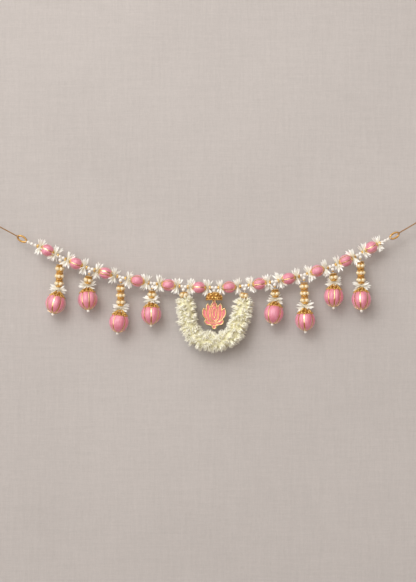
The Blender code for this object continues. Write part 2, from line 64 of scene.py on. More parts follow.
# Balls on the main line, left to right: where they are and the angles of the ribbons in front,
# in degrees above the middle. Each ribbon runs on round the back.
Ball = namedtuple("Ball", "x z ribbons")
STRING_BALLS = (
    Ball(-0.4013, -0.0713, (6, -72)),
    Ball(-0.3300, -0.1038, (-9, 82)),
    Ball(-0.2563, -0.1275, (17, -17, 84)),
    Ball(-0.1763, -0.1470, (-47, 56)),
    Ball(-0.0990, -0.1575, (46, -42)),
    Ball(-0.0225, -0.1635, (3, -88)),
    Ball(0.0530, -0.1628, (-33, 54)),
    Ball(0.1288, -0.1545, (-8, 52)),
    Ball(0.2015, -0.1415, (-4, -84)),
    Ball(0.2733, -0.1220, (-46, 48)),
    Ball(0.3443, -0.0965, (-12, 50)),
    Ball(0.4085, -0.0638, (4, -64)),
)
DIP_BETWEEN_BALLS = 0.0020

# Drops, left to right: the gap of the main line they hang from, their tiers of pearls, the
# ball's centre, the turns of its foot to the left and to the front, and its front ribbons.
Drop = namedtuple("Drop", "junction tiers x z lean nod ribbons")
DROPS = (
    Drop(1, 3, -0.3810, -0.2035, 13, 10, (-54, -10, 35, 80)),
    Drop(2, 1, -0.3008, -0.1938, -4, 10, (-75, -32, 15, 58)),
    Drop(3, 3, -0.2228, -0.2500, 8, 0, (-33, 43, -84)),
    Drop(4, 1, -0.1418, -0.2305, 1, 4, (-45, 3, 51)),
    Drop(8, 1, 0.1645, -0.2288, 9, 10, (-39, 39, 88)),
    Drop(9, 3, 0.2430, -0.2458, -1, 0, (-51, -10, 48)),
    Drop(10, 1, 0.3145, -0.1863, 2, 6, (-40, 0, 38, 82)),
    Drop(11, 3, 0.3835, -0.1943, 1, 14, (-53, -14, 37, 80)),
)
CAP_TOP = 0.0320
CAP_RIM = 0.0183
CAP_RIM_RADIUS = 0.0178
KNOT_GAP = 0.0007
PEARL_RADIUS = 0.0040
PEARL_DROP = 0.0073
STRAND_TOP = 0.0022

FLOWER_AFTER_BALL = 0.105
FLOWER_BEFORE_BALL = 0.138
PEARL_PITCH = 0.0092
RONDELLE_FROM_PEARL = 0.0059
END_STRETCH = 0.0350
END_PEARL_PITCH = 0.0087
PITCH_SHARE = 0.15
RONDELLE_SHARE = 0.10
FLOWER_SHARE = 0.25
FLOWER_TO_BALL = 0.0027

DISC_BELOW_PEARL = 0.0125
RING_BELOW_DISC = 0.0080
TIER_PITCH = 0.0178
CUP_BELOW_RING = 0.0052
FLOWER_BELOW_RING = 0.0128
END_BELOW_FLOWER = 0.0066
BEAD_BELOW_PEARL = 0.0058
TIERS_LOWER = 0.0018

LINE_PEARL_SWELL = 0.0006
END_PEARL_SWELL = 0.0003
RING_TO_PEARL = 0.0006
MIDDLE_PEARL_LOWER = 0.0007
DISC_PAIR_OFFSET = 0.0014
CUP_NEARER_ABOVE = 0.9
COLLAR_BELOW_CUP = 0.0026
TUFT_LOWER = 0.0030
HANGER_RING_SHARE = 0.42
HANGER_DISC_ABOVE_RING = 0.0058
PEARL_MESH = (20, 12)
GRAIN_MESH = (8, 5)
LINE_THREAD = 0.0006
DROP_THREAD = 0.0007
SEAT_GAP = 0.0003

GARLAND_JUNCTIONS = (5, 7)
GARLAND_ROUTE = (
    (-0.0600, -0.1895), (-0.0545, -0.2175), (-0.0525, -0.2400), (-0.0470, -0.2600),
    (-0.0365, -0.2790), (-0.0190, -0.2935), (0.0150, -0.3010), (0.0480, -0.2930),
    (0.0665, -0.2765), (0.0765, -0.2540), (0.0825, -0.2350), (0.0865, -0.2160),
    (0.0888, -0.1940),
)
PLAQUE_JUNCTION = 6
DOME_HEIGHT = 0.0180
DOME_RADIUS = 0.0198
PLAQUE_HEIGHT = 0.0735
PLAQUE_TIP_REACH = 0.0267
PLAQUE_THICKNESS = 0.0030

Ring = namedtuple("Ring", "x z slope")
END_RINGS = {"left": Ring(-0.4650, -0.0423, -29), "right": Ring(0.4663, -0.0340, 30.5)}
RING_LENGTH = 0.0270
RING_WIDTH = 0.0156
RING_WIRE = 0.0032
CORD_ROUTES = {
    "left": ((-0.47706, -0.03559), (-0.4890, -0.0289), (-0.5020, -0.0219), (-0.5150, -0.0150),
             (-0.5232, -0.0106)),
    "right": ((0.47819, -0.02700), (0.4905, -0.0198), (0.5030, -0.0126), (0.5150, -0.0055),
              (0.5232, -0.0006)),
}
CORD_DIAMETER = 0.0030
KNOT_LENGTH = 0.0062
LOOP_LENGTH = 0.0190
LOOP_WIDTH = 0.0125
LOOP_IN_KNOT = 0.0035


# Settings a user would change


def size(name, description, default):
    return FloatProperty(name=name, description=description, default=default, min=0.0001,
                         subtype="DISTANCE", unit="LENGTH", precision=4)


def colour(name, description, default):
    return FloatVectorProperty(name=name, description=description, default=default, size=3,
                               min=0, max=1, subtype="COLOR")


def share(name, description, default):
    return FloatProperty(name=name, description=description, default=default, min=0, max=1,
                         subtype="FACTOR")


class ToranBallSettings(bpy.types.PropertyGroup):
    """Sizes of the thread-wound balls and their ribbons"""
    string_length: size("Line ball length", "Pole to pole, on the main line", 0.0334)
    string_width: size("Line ball width", "Across, on the main line", 0.0300)
    drop_radius: size("Drop ball radius", "Radius of the ball at the foot of a drop", 0.0254)
    string_ribbon: size("Line ribbon width", "Gilt ribbon on a line ball", 0.0033)
    drop_ribbon: size("Drop ribbon width", "Gilt ribbon on a drop ball", 0.0039)
    groove: share("Groove", "How far a ribbon pulls the winding in", 0.085)
    thread: colour("Thread", "Colour of the winding", (0.81, 0.165, 0.275))
    thread_pale: colour("Pale thread", "Colour of the winding's lighter threads",
                        (0.91, 0.41, 0.55))
    strands: IntProperty(name="Threads", description="Threads round a ball", default=150, min=24)


class ToranFlowerSettings(bpy.types.PropertyGroup):
    """Petals of the tufts and buds of the garland"""
    petal_length: size("Petal length", "Tie to tip of a long petal", 0.0225)
    petal_width: size("Petal width", "Width of a middling petal", 0.0048)
    petal_thickness: size("Petal thickness", "Thickness of a petal", 0.0005)
    spread: FloatProperty(name="Spread", description="Half angle of a fan of petals",
                          default=math.radians(40), subtype="ANGLE", unit="ROTATION")
    petal: colour("Petal", "Colour of the petals", (0.98, 0.97, 0.92))
    petal_foot: colour("Petal foot", "Colour of a petal near its tie", (0.87, 0.80, 0.58))
    bud_length: size("Bud length", "Foot to tip of a bud", 0.0188)
    bud_width: size("Bud width", "Width of one of a bud's petals", 0.0060)
    bud_rows: IntProperty(name="Bud rows", description="Rows of buds along the garland",
                          default=41, min=8)
    bud_columns: IntProperty(name="Buds in a row", description="Buds round the garland",
                             default=11, min=5)
    bud: colour("Bud", "Colour of the buds", (0.97, 0.95, 0.82))
    bud_foot: colour("Bud foot", "Colour of the buds near the thread", (0.90, 0.83, 0.42))


class ToranMetalSettings(bpy.types.PropertyGroup):
    """Gilt beads, caps and rings, pearls and the plaque"""
    gilt: colour("Gilt", "Colour of the gilt metal", (0.98, 0.69, 0.24))
    # Dark gilt: colour of the tarnish patches, and the painted shade in the hollows under the lace,
    # which the linings are pulled towards.
    gilt_tarnish_and_shade: colour("Dark gilt", "Colour in the hollows of the gilt", (0.44, 0.19, 0.04))
    ribbon: colour("Ribbon", "Colour of the gilt ribbon", (0.97, 0.70, 0.36))
    pearl: colour("Pearl", "Colour of the white pearls", (0.96, 0.95, 0.92))
    champagne: colour("Champagne pearl", "Colour of the pearls in the tiers",
                      (0.89, 0.73, 0.43))
    enamel: colour("Enamel", "Colour of the plaque's enamel", (0.97, 0.21, 0.235))
    cord: colour("Cord", "Colour of the tie cords", (0.29, 0.15, 0.045))
    wire: size("Filigree wire", "Radius of the wire on caps and dome", 0.0009)
    granule: size("Granule", "Radius of a grain on caps and dome", 0.0018)


class ToranStageSettings(bpy.types.PropertyGroup):
    """Wall, floor, lights and camera"""
    wall: colour("Wall", "Colour of the wall", (0.540, 0.507, 0.492))
    key: FloatProperty(name="Key light", description="Power of the light from the upper left",
                       default=31.5, unit="POWER")
    window: FloatProperty(name="Window", description="Strength of the broad light in front",
                          default=1.42, min=0)
    above: FloatProperty(name="Above", description="Strength of the even light from above",
                         default=0.29, min=0)
    below: FloatProperty(name="Below", description="Strength of the even light from below",
                         default=0.36, min=0)
    lens: FloatProperty(name="Lens", description="Focal length of the camera", default=85,
                        unit="CAMERA")
    show_weave: BoolProperty(name="Weave", description="Show the weave of the wall's cloth",
                             default=True)


class ToranSettings(bpy.types.PropertyGroup):
    """Everything the operators read"""
    balls: PointerProperty(type=ToranBallSettings)
    flowers: PointerProperty(type=ToranFlowerSettings)
    metal: PointerProperty(type=ToranMetalSettings)
    stage: PointerProperty(type=ToranStageSettings)


# Places and paths


def flat_point(x, z):
    return Vector((x, 0, z))


def aimed(origin, axis, towards=FRONT):
    """A matrix that takes local Z to the axis and local X as near towards as it goes."""
    along = axis.normalized()
    side = (towards - along * towards.dot(along)).normalized()
    turn = Matrix((side, along.cross(side), along)).transposed().to_4x4()
    return Matrix.Translation(origin) @ turn


def spun(degrees):
    return Matrix.Rotation(math.radians(degrees), 4, "Z")


def ellipse(centre, one, other, count):
    """Points at even steps round a centre, from the end of one half axis towards the other's."""
    turns = [math.tau * step / count for step in range(count)]
    return [centre + one * math.cos(turn) + other * math.sin(turn) for turn in turns]


def smooth_curve(points, steps=24):
    """A dense polyline on the smooth curve through the points."""
    points = [Vector(point) for point in points]
    ends = [points[0] * 2 - points[1], *points, points[-1] * 2 - points[-2]]
    dense = [points[0]]
    for before, start, end, after in zip(ends, ends[1:], ends[2:], ends[3:]):
        lead = start + (end - before) / 6
        trail = end - (after - start) / 6
        dense.extend(interpolate_bezier(start, lead, trail, end, steps)[1:])
    return dense


class Path:
    """Reads points and directions off a dense polyline by the length run along it."""

    def __init__(self, dense):
        self.points = dense
        self.runs = [0.0]
        for start, end in zip(dense, dense[1:]):
            self.runs.append(self.runs[-1] + (end - start).length)
        self.length = self.runs[-1]

    def direction(self, index):
        before = self.points[max(index - 1, 0)]
        after = self.points[min(index + 1, len(self.points) - 1)]
        return (after - before).normalized()

    def at(self, run):
        if run <= 0:
            return self.points[0] + self.direction(0) * run, self.direction(0)
        last = len(self.points) - 1
        if run >= self.length:
            heading = self.direction(last)
            return self.points[-1] + heading * (run - self.length), heading
        index = next(i for i, end in enumerate(self.runs) if end > run) - 1
        part = (run - self.runs[index]) / (self.runs[index + 1] - self.runs[index])
        place = self.points[index].lerp(self.points[index + 1], part)
        heading = self.direction(index).lerp(self.direction(index + 1), part)
        return place, heading.normalized()

    def even(self, count, inset=0.0):
        """Points at even steps of the run, kept that far from both ends."""
        room = self.length - 2 * inset
        return [self.at(inset + room * step / count)[0] for step in range(count + 1)]


def ring_axis(ring):
    slope = math.radians(ring.slope)
    away = -1 if ring.x < 0 else 1
    return Vector((away * math.cos(slope), 0, away * math.sin(slope)))


def ring_end(ring, away):
    return flat_point(ring.x, ring.z) + ring_axis(ring) * (away * RING_LENGTH / 2)


def line_junctions():
    """The middle of each gap between two balls, and the beads' side of each end ring."""
    middles = [ring_end(END_RINGS["left"], -1)]
    for ball, after in zip(STRING_BALLS, STRING_BALLS[1:]):
        height = (ball.z + after.z) / 2 - DIP_BETWEEN_BALLS
        middles.append(flat_point((ball.x + after.x) / 2, height))
    middles.append(ring_end(END_RINGS["right"], -1))
    return middles


def ball_axes():
    junctions = line_junctions()
    return [(after - before).normalized() for before, after in zip(junctions, junctions[1:])]


def line_paths(context):
    """The thread's path in every gap: ring to first ball, ball to ball, last ball to ring."""
    half = context.scene.toran.balls.string_length / 2
    junctions = line_junctions()
    left = ring_axis(END_RINGS["left"])
    right = ring_axis(END_RINGS["right"])
    starts = [(junctions[0], -left)]
    ends = []
    for ball, axis in zip(STRING_BALLS, ball_axes()):
        centre = flat_point(ball.x, ball.z)
        ends.append((centre - axis * half, axis))
        starts.append((centre + axis * half, axis))
    ends.append((junctions[-1], right))
    paths = []
    for (start, lead), (end, trail) in zip(starts, ends):
        pull = (end - start).length / 3
        dense = interpolate_bezier(start, start + lead * pull, end - trail * pull, end, 48)
        paths.append(Path(dense))
    return paths


def foot_direction(drop):
    """The way from a drop's ball centre to its foot."""
    lean = math.radians(drop.lean)
    nod = math.radians(drop.nod)
    return Vector((-math.sin(lean) * math.cos(nod), -math.sin(nod),
                   -math.cos(lean) * math.cos(nod)))


def hanging_path(line_path, end):
    """The path of what hangs in the middle of a gap: square off the line, then to its end."""
    junction, heading = line_path.at(line_path.length / 2)
    under = BACK.cross(heading)
    pearl_centre = junction + under * PEARL_DROP
    points = (junction + under * STRAND_TOP, pearl_centre, pearl_centre.lerp(end, 0.5), end)
    return Path(smooth_curve(points))


# Meshes


def as_mesh(bm, name):
    """Ends a bmesh as mesh data."""
    mesh = bpy.data.meshes.new(name)
    bm.to_mesh(mesh)
    bm.free()
    return mesh


def stamp(bm, shape, matrix, tint=0.5):
    """Adds a copy of a shape, with one tint value all over it."""
    placed = shape.copy()
    placed.transform(matrix)
    values = placed.attributes.get("tint") or placed.attributes.new("tint", "FLOAT", "POINT")
    values.data.foreach_set("value", [tint] * len(placed.vertices))
    bm.from_mesh(placed)
    bpy.data.meshes.remove(placed)


def stamp_at(bm, shape, path, run, turn=0.0, tint=0.5):
    """Stamps a shape on a path, along it, turned about it by that many degrees."""
    stamp(bm, shape, aimed(*path.at(run)) @ spun(turn), tint)


def stamp_circle(bm, shape, place, count, radius, height=0.0, first=0.0, chance=None):
    """Stamps a shape at even steps round Z, the first at that many degrees."""
    for step in range(count):
        turn = math.radians(first + 360 * step / count)
        spot = Vector((radius * math.cos(turn), radius * math.sin(turn), height))
        tint = chance.random() if chance else 0.5
        stamp(bm, shape, place @ Matrix.Translation(spot), tint)


def stamped(place, *shapes):
    """A bmesh with a copy of each shape, all placed alike."""
    bm = bmesh.new()
    for shape in shapes:
        stamp(bm, shape, place)
    return bm


def outward(bm):
    """Turns the faces of a closed mesh out."""
    bmesh.ops.recalc_face_normals(bm, faces=bm.faces)
    if bm.calc_volume(signed=True) < 0:
        bmesh.ops.reverse_faces(bm, faces=bm.faces)


def piece(name, bm, finish, nodes=(), sharp=60):
    """Makes a finished, smooth-shaded piece that rides on the frame."""
    mesh = as_mesh(bm, name)
    mesh.shade_smooth()
    mesh.set_sharp_from_angle(angle=math.radians(sharp))
    mesh.materials.append(finish)
    made = bpy.data.objects.new(name, mesh)
    bpy.context.scene.collection.objects.link(made)
    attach(made, "root")
    if nodes:
        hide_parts(*nodes)
    return made


def turned(profile, steps, closed=False):
    """Spins (radius, height) pairs about Z: a closed outline, or a line whose ends are closed."""
    bm = bmesh.new()
    verts = [bm.verts.new((radius, 0, height)) for radius, height in profile]
    ends = verts[1:] + verts[:1] if closed else verts[1:]
    edges = [bm.edges.new(pair) for pair in zip(verts, ends)]
    bmesh.ops.spin(bm, geom=verts + edges, cent=(0, 0, 0), axis=(0, 0, 1), angle=math.tau,
                   steps=steps, use_merge=True)
    if not closed:
        bmesh.ops.remove_doubles(bm, verts=bm.verts, dist=0.00001)
        rims = [edge for edge in bm.edges if edge.is_boundary]
        bmesh.ops.holes_fill(bm, edges=rims, sides=0)
    outward(bm)
    return bm


def fluted(bm, count, depth, start):
    """Pulls a turned shape in and out round its axis, count times, outside a start radius."""
    for vert in bm.verts:
        angle = math.atan2(vert.co.y, vert.co.x)
        change = 1 + depth * (math.cos(count * angle) - 1) / 2
        if math.hypot(vert.co.x, vert.co.y) > start:
            vert.co.x *= change
            vert.co.y *= change
    return bm


def sphere_shape(name, radius, around, rings):
    bm = bmesh.new()
    bmesh.ops.create_uvsphere(bm, u_segments=around, v_segments=rings, radius=radius)
    return as_mesh(bm, name)


def add_wires(bm, routes, radius, cyclic=False, resolution=1):
    """Adds round wire along each route of points."""
    curve = bpy.data.curves.new("Wire", "CURVE")
    curve.dimensions = "3D"
    curve.bevel_depth = radius
    curve.bevel_resolution = resolution
    curve.use_fill_caps = True
    for route in routes:
        spline = curve.splines.new("POLY")
        spline.points.add(len(route) - 1)
        for point, place in zip(spline.points, route):
            point.co = (*place, 1)
        spline.use_cyclic_u = cyclic
    holder = bpy.data.objects.new("Wire", curve)
    mesh = bpy.data.meshes.new_from_object(holder)
    stamp(bm, mesh, Matrix.Identity(4))
    bpy.data.meshes.remove(mesh)
    bpy.data.objects.remove(holder)
    bpy.data.curves.remove(curve)


# Materials


class Nodes:
    """Short ways to fill a node tree."""

    def __init__(self, tree):
        self.tree = tree

    def node(self, kind, inputs=(), **settings):
        made = self.tree.nodes.new(kind)
        for setting, value in settings.items():
            setattr(made, setting, value)
        for socket, value in dict(inputs).items():
            self.feed(made.inputs[socket], value)
        return made

    def feed(self, socket, value):
        if isinstance(value, bpy.types.NodeSocket):
            self.tree.links.new(value, socket)
        elif socket.type == "RGBA":
            socket.default_value = (*value[:3], 1)
        else:
            socket.default_value = value

    def places(self):
        return self.node("ShaderNodeTexCoord").outputs["Object"]

    def uv(self):
        return self.node("ShaderNodeTexCoord").outputs["UV"]

    def value(self, name):
        return self.node("ShaderNodeAttribute", attribute_name=name).outputs["Fac"]

    def noise(self, vector, scale, detail=2.0):
        made = self.node("ShaderNodeTexNoise", {"Vector": vector, "Scale": scale, "Detail": detail})
        return made.outputs["Fac"]

    def stretched(self, vector, scale):
        return self.node("ShaderNodeMapping", {"Vector": vector, "Scale": scale}).outputs["Vector"]

    def blend(self, fac, low, high):
        made = self.node("ShaderNodeMix", data_type="RGBA")
        for socket, value in ((made.inputs[0], fac), (made.inputs[6], low), (made.inputs[7], high)):
            self.feed(socket, value)
        return made.outputs[2]

    def span(self, value, low, high, from_low=0.0, from_high=1.0):
        made = self.node("ShaderNodeMapRange", {
            "Value": value, "From Min": from_low, "From Max": from_high,
            "To Min": low, "To Max": high})
        return made.outputs["Result"]

    def ramp(self, value, low, high):
        """0 to 1 as the value runs from low to high."""
        return self.span(value, 0, 1, low, high)

    def wave(self, vector, scale, direction, distortion=0.0):
        made = self.node("ShaderNodeTexWave", {
            "Vector": vector, "Scale": scale, "Distortion": distortion},
            wave_type="BANDS", bands_direction=direction)
        return made.outputs["Fac"]

    def maths(self, operation, *values):
        made = self.node("ShaderNodeMath", operation=operation)
        for socket, value in zip(made.inputs, values):
            self.feed(socket, value)
        return made.outputs[0]

    def plus(self, one, other):
        return self.maths("ADD", one, other)

    def times(self, one, other):
        return self.maths("MULTIPLY", one, other)

    def weighed(self, one, other, weight):
        """The mean of two values, the first with that weight of 0 to 1."""
        return self.plus(self.times(one, weight), self.times(other, 1 - weight))


class Finish(Nodes):
    """A Principled material and short ways to feed it."""

    def __init__(self, name, **values):
        self.material = bpy.data.materials.new(name)
        self.material.use_nodes = True
        super().__init__(self.material.node_tree)
        self.shader = self.tree.nodes["Principled BSDF"]
        for socket, value in values.items():
            self.shader.inputs[socket.replace("_", " ")].default_value = value

    def into(self, socket, value):
        self.feed(self.shader.inputs[socket], value)

    def coloured(self, fac, low, high):
        self.into("Base Color", self.blend(fac, low, high))

    def bump(self, height, strength, distance):
        made = self.node("ShaderNodeBump", {
            "Height": height, "Strength": strength, "Distance": distance})
        self.into("Normal", made.outputs["Normal"])


def shade(colour, factor, lift=0.0):
    return [min(1.0, part * factor + lift) for part in colour]


def wound_thread(settings):
    """Satin thread laid pole to pole: fine ridges with painted shade in the grooves between them,
    and threads that differ a little in tone.
    """
    finish = Finish("Wound_thread", Roughness=0.43, Sheen_Weight=0.5, Sheen_Roughness=0.45,
                    Sheen_Tint=(1.0, 0.85, 0.93, 1), Specular_IOR_Level=1.0, Coat_Weight=0.9,
                    Coat_Roughness=0.48, Coat_IOR=1.8)
    uv = finish.uv()
    ridges = finish.wave(uv, settings.strands * math.tau / 20, "X")
    streaks = finish.noise(finish.stretched(uv, (90, 3, 1)), 1.0)
    tone = finish.weighed(streaks, finish.noise(finish.places(), 90), 0.7)
    base = finish.blend(finish.ramp(tone, 0.38, 0.62), settings.thread, settings.thread_pale)
    # Painted shade: the grooves between the ridges take a darker, deeper pink.
    between = [part * dim for part, dim in zip(settings.thread, (0.80, 0.50, 0.55))]
    finish.coloured(finish.ramp(ridges, 0.0, 0.45), between, base)
    finish.bump(finish.plus(ridges, streaks), 0.4, 0.0004)
    return finish.material


def gilt_ribbon(settings):
    """Flat gilt ribbon with a fine cross weave."""
    finish = Finish("Gilt_ribbon", Metallic=1.0)
    marks = finish.noise(finish.places(), 420)
    finish.coloured(finish.ramp(marks, 0.35, 0.65), shade(settings.ribbon, 0.85), settings.ribbon)
    finish.into("Roughness", finish.span(marks, 0.16, 0.30))
    finish.bump(finish.wave(finish.uv(), 22.0, "Y", 0.6), 0.12, 0.0002)
    return finish.material


def gilt_metal(settings, name, dark=0.0, rough=0.34):
    """Polished gilt with tarnish settled in patches; dark pulls it towards the dark colour, which
    on the linings is painted shade.
    """
    finish = Finish(name, Metallic=1.0)
    places = finish.places()
    tarnish = finish.ramp(finish.noise(places, 260, 4), 0.48, 0.80)
    # At a dark of 1 and more, as on the linings, this is painted shade; below that it is a darker
    # tone of gilt.
    darkened_gilt = [max(0.0, a + (b - a) * dark) for a, b in zip(settings.gilt, settings.gilt_tarnish_and_shade)]
    finish.coloured(tarnish, darkened_gilt, shade(settings.gilt_tarnish_and_shade, min(1.0, 1.5 - dark)))
    finish.into("Roughness", finish.span(tarnish, rough, rough + 0.16))
    finish.bump(finish.noise(places, 900), 0.2, 0.0002)
    return finish.material


def pearl_coat(name, base, warm):
    """Pearl: a pale body with a soft cloud of a second tone under a clear coat."""
    finish = Finish(name, Roughness=0.24, Coat_Weight=0.8, Coat_Roughness=0.07,
                    Specular_IOR_Level=0.6)
    places = finish.places()
    finish.coloured(finish.ramp(finish.noise(places, 300), 0.35, 0.7), base, warm)
    finish.bump(finish.noise(places, 700), 0.05, 0.0002)
    return finish.material


def petal_skin(name, tip, foot, ribs):
    """Thin pale petal, warmer towards its foot, with ribs along it and a tone of its own."""
    finish = Finish(name, Roughness=0.46, Specular_IOR_Level=0.5)
    mottle = finish.noise(finish.places(), 380)
    uneven = finish.times(finish.plus(mottle, -0.5), 0.5)
    reach = finish.plus(finish.value("run"), uneven)
    body = finish.blend(finish.ramp(reach, 0.12, 0.74), foot, tip)
    own = finish.blend(finish.ramp(finish.value("tint"), 0.0, 0.6), shade(tip, 0.80),
                       shade(tip, 1.06, 0.03))
    finish.coloured(0.3, body, own)
    across = finish.maths("SINE", finish.times(finish.value("across"), ribs))
    finish.bump(finish.plus(across, mottle), 0.2, 0.0001)
    return finish.material


def enamel_glaze(settings):
    """Glossy enamel with slow cloudiness."""
    finish = Finish("Rose_enamel", Roughness=0.22, Coat_Weight=0.7, Coat_Roughness=0.06)
    places = finish.places()
    cloud = finish.ramp(finish.noise(places, 130, 3), 0.35, 0.65)
    finish.coloured(cloud, shade(settings.enamel, 0.80), settings.enamel)
    finish.bump(finish.noise(places, 500), 0.08, 0.0002)
    return finish.material


def twisted_cord(settings):
    """Fine twisted yarn with fibres along each ply."""
    finish = Finish("Twisted_cord", Roughness=0.72, Sheen_Weight=0.4)
    fibre = finish.noise(finish.stretched(finish.places(), (500, 2600, 1500)), 1.0, 3)
    finish.coloured(finish.ramp(fibre, 0.3, 0.7), settings.cord, shade(settings.cord, 1.45))
    finish.bump(fibre, 0.5, 0.0003)
    return finish.material


def matt_fibre(name, scale, dark, light, strength, distance, **values):
    """Matt fibre of two tones, rough by the same noise."""
    finish = Finish(name, **values)
    fibre = finish.noise(finish.places(), scale, 3)
    finish.coloured(fibre, dark, light)
    finish.bump(fibre, strength, distance)
    return finish.material


def white_thread():
    return matt_fibre("White_thread", 1500, (0.70, 0.68, 0.62), (0.90, 0.89, 0.85), 0.4, 0.0002,
                      Roughness=0.7, Sheen_Weight=0.3)


def garland_core():
    return matt_fibre("Garland_core", 240, (0.78, 0.74, 0.46), (0.92, 0.90, 0.70), 0.6, 0.0006,
                      Roughness=0.8)


# Balls

GROOVE_DEGREES = 11
RIBBON_CROWN = 0.00035
RIBBON_LIFT = 0.0002
RIBBON_THICKNESS = 0.0006
POLE_CAP_RADIUS = 0.0074
POLE_CAP_DEPTH = 0.0042
POLE_CAP_INSET = 0.0028
POLE_CAP_GRAINS = 14
# Points round a ball and from pole to pole, and how far its ribbons run from its middle
Winding = namedtuple("Winding", "around along reach")
LINE_BALL = Winding(60, 22, 66)
DROP_BALL = Winding(80, 30, 84)


def turn_between(one, other):
    return abs((one - other + 180) % 360 - 180)


def wound_ball(half, radius, ribbons, groove, steps, rings):
    """A ball wound pole to pole, drawn in a little under each ribbon."""
    bm = bmesh.new()
    bm.loops.layers.uv.new("winding")
    bmesh.ops.create_uvsphere(bm, u_segments=steps, v_segments=rings, radius=1, calc_uvs=True)
    for vert in bm.verts:
        spread = math.hypot(vert.co.x, vert.co.y)
        angle = math.degrees(math.atan2(vert.co.y, vert.co.x))
        nearest = min(turn_between(angle, ribbon) for ribbon in ribbons)
        width = radius * (1 - groove * spread * math.exp(-(nearest / GROOVE_DEGREES) ** 2))
        vert.co = (vert.co.x * width, vert.co.y * width, vert.co.z * half)
    return as_mesh(bm, "Ball")


def ribbon(half, radius, angle, width, groove, reach, count):
    """A gilt ribbon from pole to pole, let into the winding."""
    bm = bmesh.new()
    bm.loops.layers.uv.new("winding")
    bmesh.ops.create_grid(bm, x_segments=2, y_segments=18, size=0.5, calc_uvs=True)
    for vert in bm.verts:
        polar = math.pi / 2 + vert.co.y * 2 * math.radians(reach)
        ring = radius * math.sin(polar)
        room = math.pi * ring / count
        across = vert.co.x * 2 * min(width / 2, room)
        turn = math.radians(angle) + across / ring
        crown = RIBBON_CROWN * (1 - (2 * vert.co.x) ** 2) + RIBBON_LIFT
        seat = ring * (1 - groove * math.sin(polar)) + crown
        vert.co = (seat * math.cos(turn), seat * math.sin(turn),
                   (half + crown * 0.5) * math.cos(polar))
    bmesh.ops.solidify(bm, geom=bm.faces[:], thickness=RIBBON_THICKNESS)
    outward(bm)
    return as_mesh(bm, "Ribbon")


def ball_shapes(kind, half, radius, angles, ribbon_width, groove):
    """The winding of a ball, and its ribbons."""
    ribbons = [ribbon(half, radius, angle, ribbon_width, groove, kind.reach, len(angles))
               for angle in angles]
    return wound_ball(half, radius, angles, groove, kind.around, kind.along), ribbons


def with_backs(front):
    return [angle for side in (0, 180) for angle in (turn + side for turn in front)]


def pole_cap(radius, depth):
    """A fluted gilt cup that sits over a ball's pole, its mouth down."""
    profile = ((0.0012, depth * 1.06), (radius * 0.42, depth * 1.05), (radius * 0.78, depth * 0.72),
               (radius, depth * 0.12), (radius * 0.99, -depth * 0.06), (radius * 0.90, 0.0),
               (radius * 0.70, depth * 0.50), (radius * 0.36, depth * 0.80),
               (0.0012, depth * 0.82))
    return as_mesh(fluted(turned(profile, 36, closed=True), 12, 0.16, radius * 0.5), "Pole_cap")


class TORAN_OT_string_balls(bpy.types.Operator):
    """Winds the twelve balls of the main line and lays on their ribbons and pole caps"""
    bl_idname = "toran.string_balls"
    bl_label = "Line balls"

    def execute(self, context):
        settings = context.scene.toran.balls
        metal = context.scene.toran.metal
        half = settings.string_length / 2
        radius = settings.string_width / 2
        winding, gilt, caps = (bmesh.new() for _ in range(3))
        cup = pole_cap(POLE_CAP_RADIUS, POLE_CAP_DEPTH)
        grain = sphere_shape("Grain", 0.0012, *GRAIN_MESH)
        for ball, axis in zip(STRING_BALLS, ball_axes()):
            place = aimed(flat_point(ball.x, ball.z), axis)
            angles = with_backs([-turn for turn in ball.ribbons])
            wound, strips = ball_shapes(LINE_BALL, half, radius, angles, settings.string_ribbon,
                                        settings.groove)
            stamp(winding, wound, place)
            for strip in strips:
                stamp(gilt, strip, place)
            for side in (0, 180):
                end = place @ Matrix.Rotation(math.radians(side), 4, "X")
                seat = end @ Matrix.Translation((0, 0, half - POLE_CAP_INSET))
                stamp(caps, cup, seat)
                stamp_circle(caps, grain, seat, POLE_CAP_GRAINS, POLE_CAP_RADIUS, 0.0006)
        names = [f"string_ball_{count:02d}" for count in range(1, len(STRING_BALLS) + 1)]
        piece("Line_balls", winding, wound_thread(settings), names)
        piece("Line_ball_ribbons", gilt, gilt_ribbon(metal))
        piece("Line_ball_caps", caps, gilt_metal(metal, "Gilt_cap"))
        return {"FINISHED"}


# Petals and tufts

PETAL_OUTLINE = ((0.0, 0.20), (0.2, 0.42), (0.42, 0.80), (0.64, 1.0), (0.84, 0.70), (1.0, 0.14))
PETAL_ROWS = len(PETAL_OUTLINE) - 1
# Kinds of petals: length and width as shares of the settings, then cup and curl
PETAL_KINDS = ((1.0, 1.0, 0.22, 0.30), (0.92, 0.75, 0.10, -0.25), (1.04, 1.25, 0.30, 0.15),
               (0.86, 1.1, 0.26, 0.55), (1.0, 0.68, -0.12, 0.20), (0.97, 1.4, 0.34, -0.10))
FAN_FOOT = 0.0007
FAN_LIFT = 0.0008


def petal_shape(length, width, thickness, cup, curl):
    """One petal along Z, its face towards X: cupped across, curled along and round-tipped."""
    bm = bmesh.new()
    run = bm.verts.layers.float.new("run")
    across = bm.verts.layers.float.new("across")
    bmesh.ops.create_grid(bm, x_segments=2, y_segments=PETAL_ROWS, size=0.5)
    for vert in bm.verts:
        row = round((vert.co.y + 0.5) * PETAL_ROWS)
        far, breadth = PETAL_OUTLINE[row]
        side = vert.co.x * 2
        bow = curl * far
        vert[run] = far
        vert[across] = side
        lift = length * far * math.sin(bow / 2) + cup * width * side * side * breadth
        rounding = 0.05 * length * (1 - abs(side)) * (row == PETAL_ROWS)
        vert.co = (lift, side * breadth * width / 2, length * far * math.cos(bow / 2) + rounding)
    bmesh.ops.solidify(bm, geom=bm.faces[:], thickness=thickness)
    outward(bm)
    return as_mesh(bm, "Petal")


def petal_set(settings):
    """A few petals that differ in length, width, cup and curl."""
    return [petal_shape(settings.petal_length * long, settings.petal_width * wide,
                        settings.petal_thickness, cup, curl)
            for long, wide, cup, curl in PETAL_KINDS]


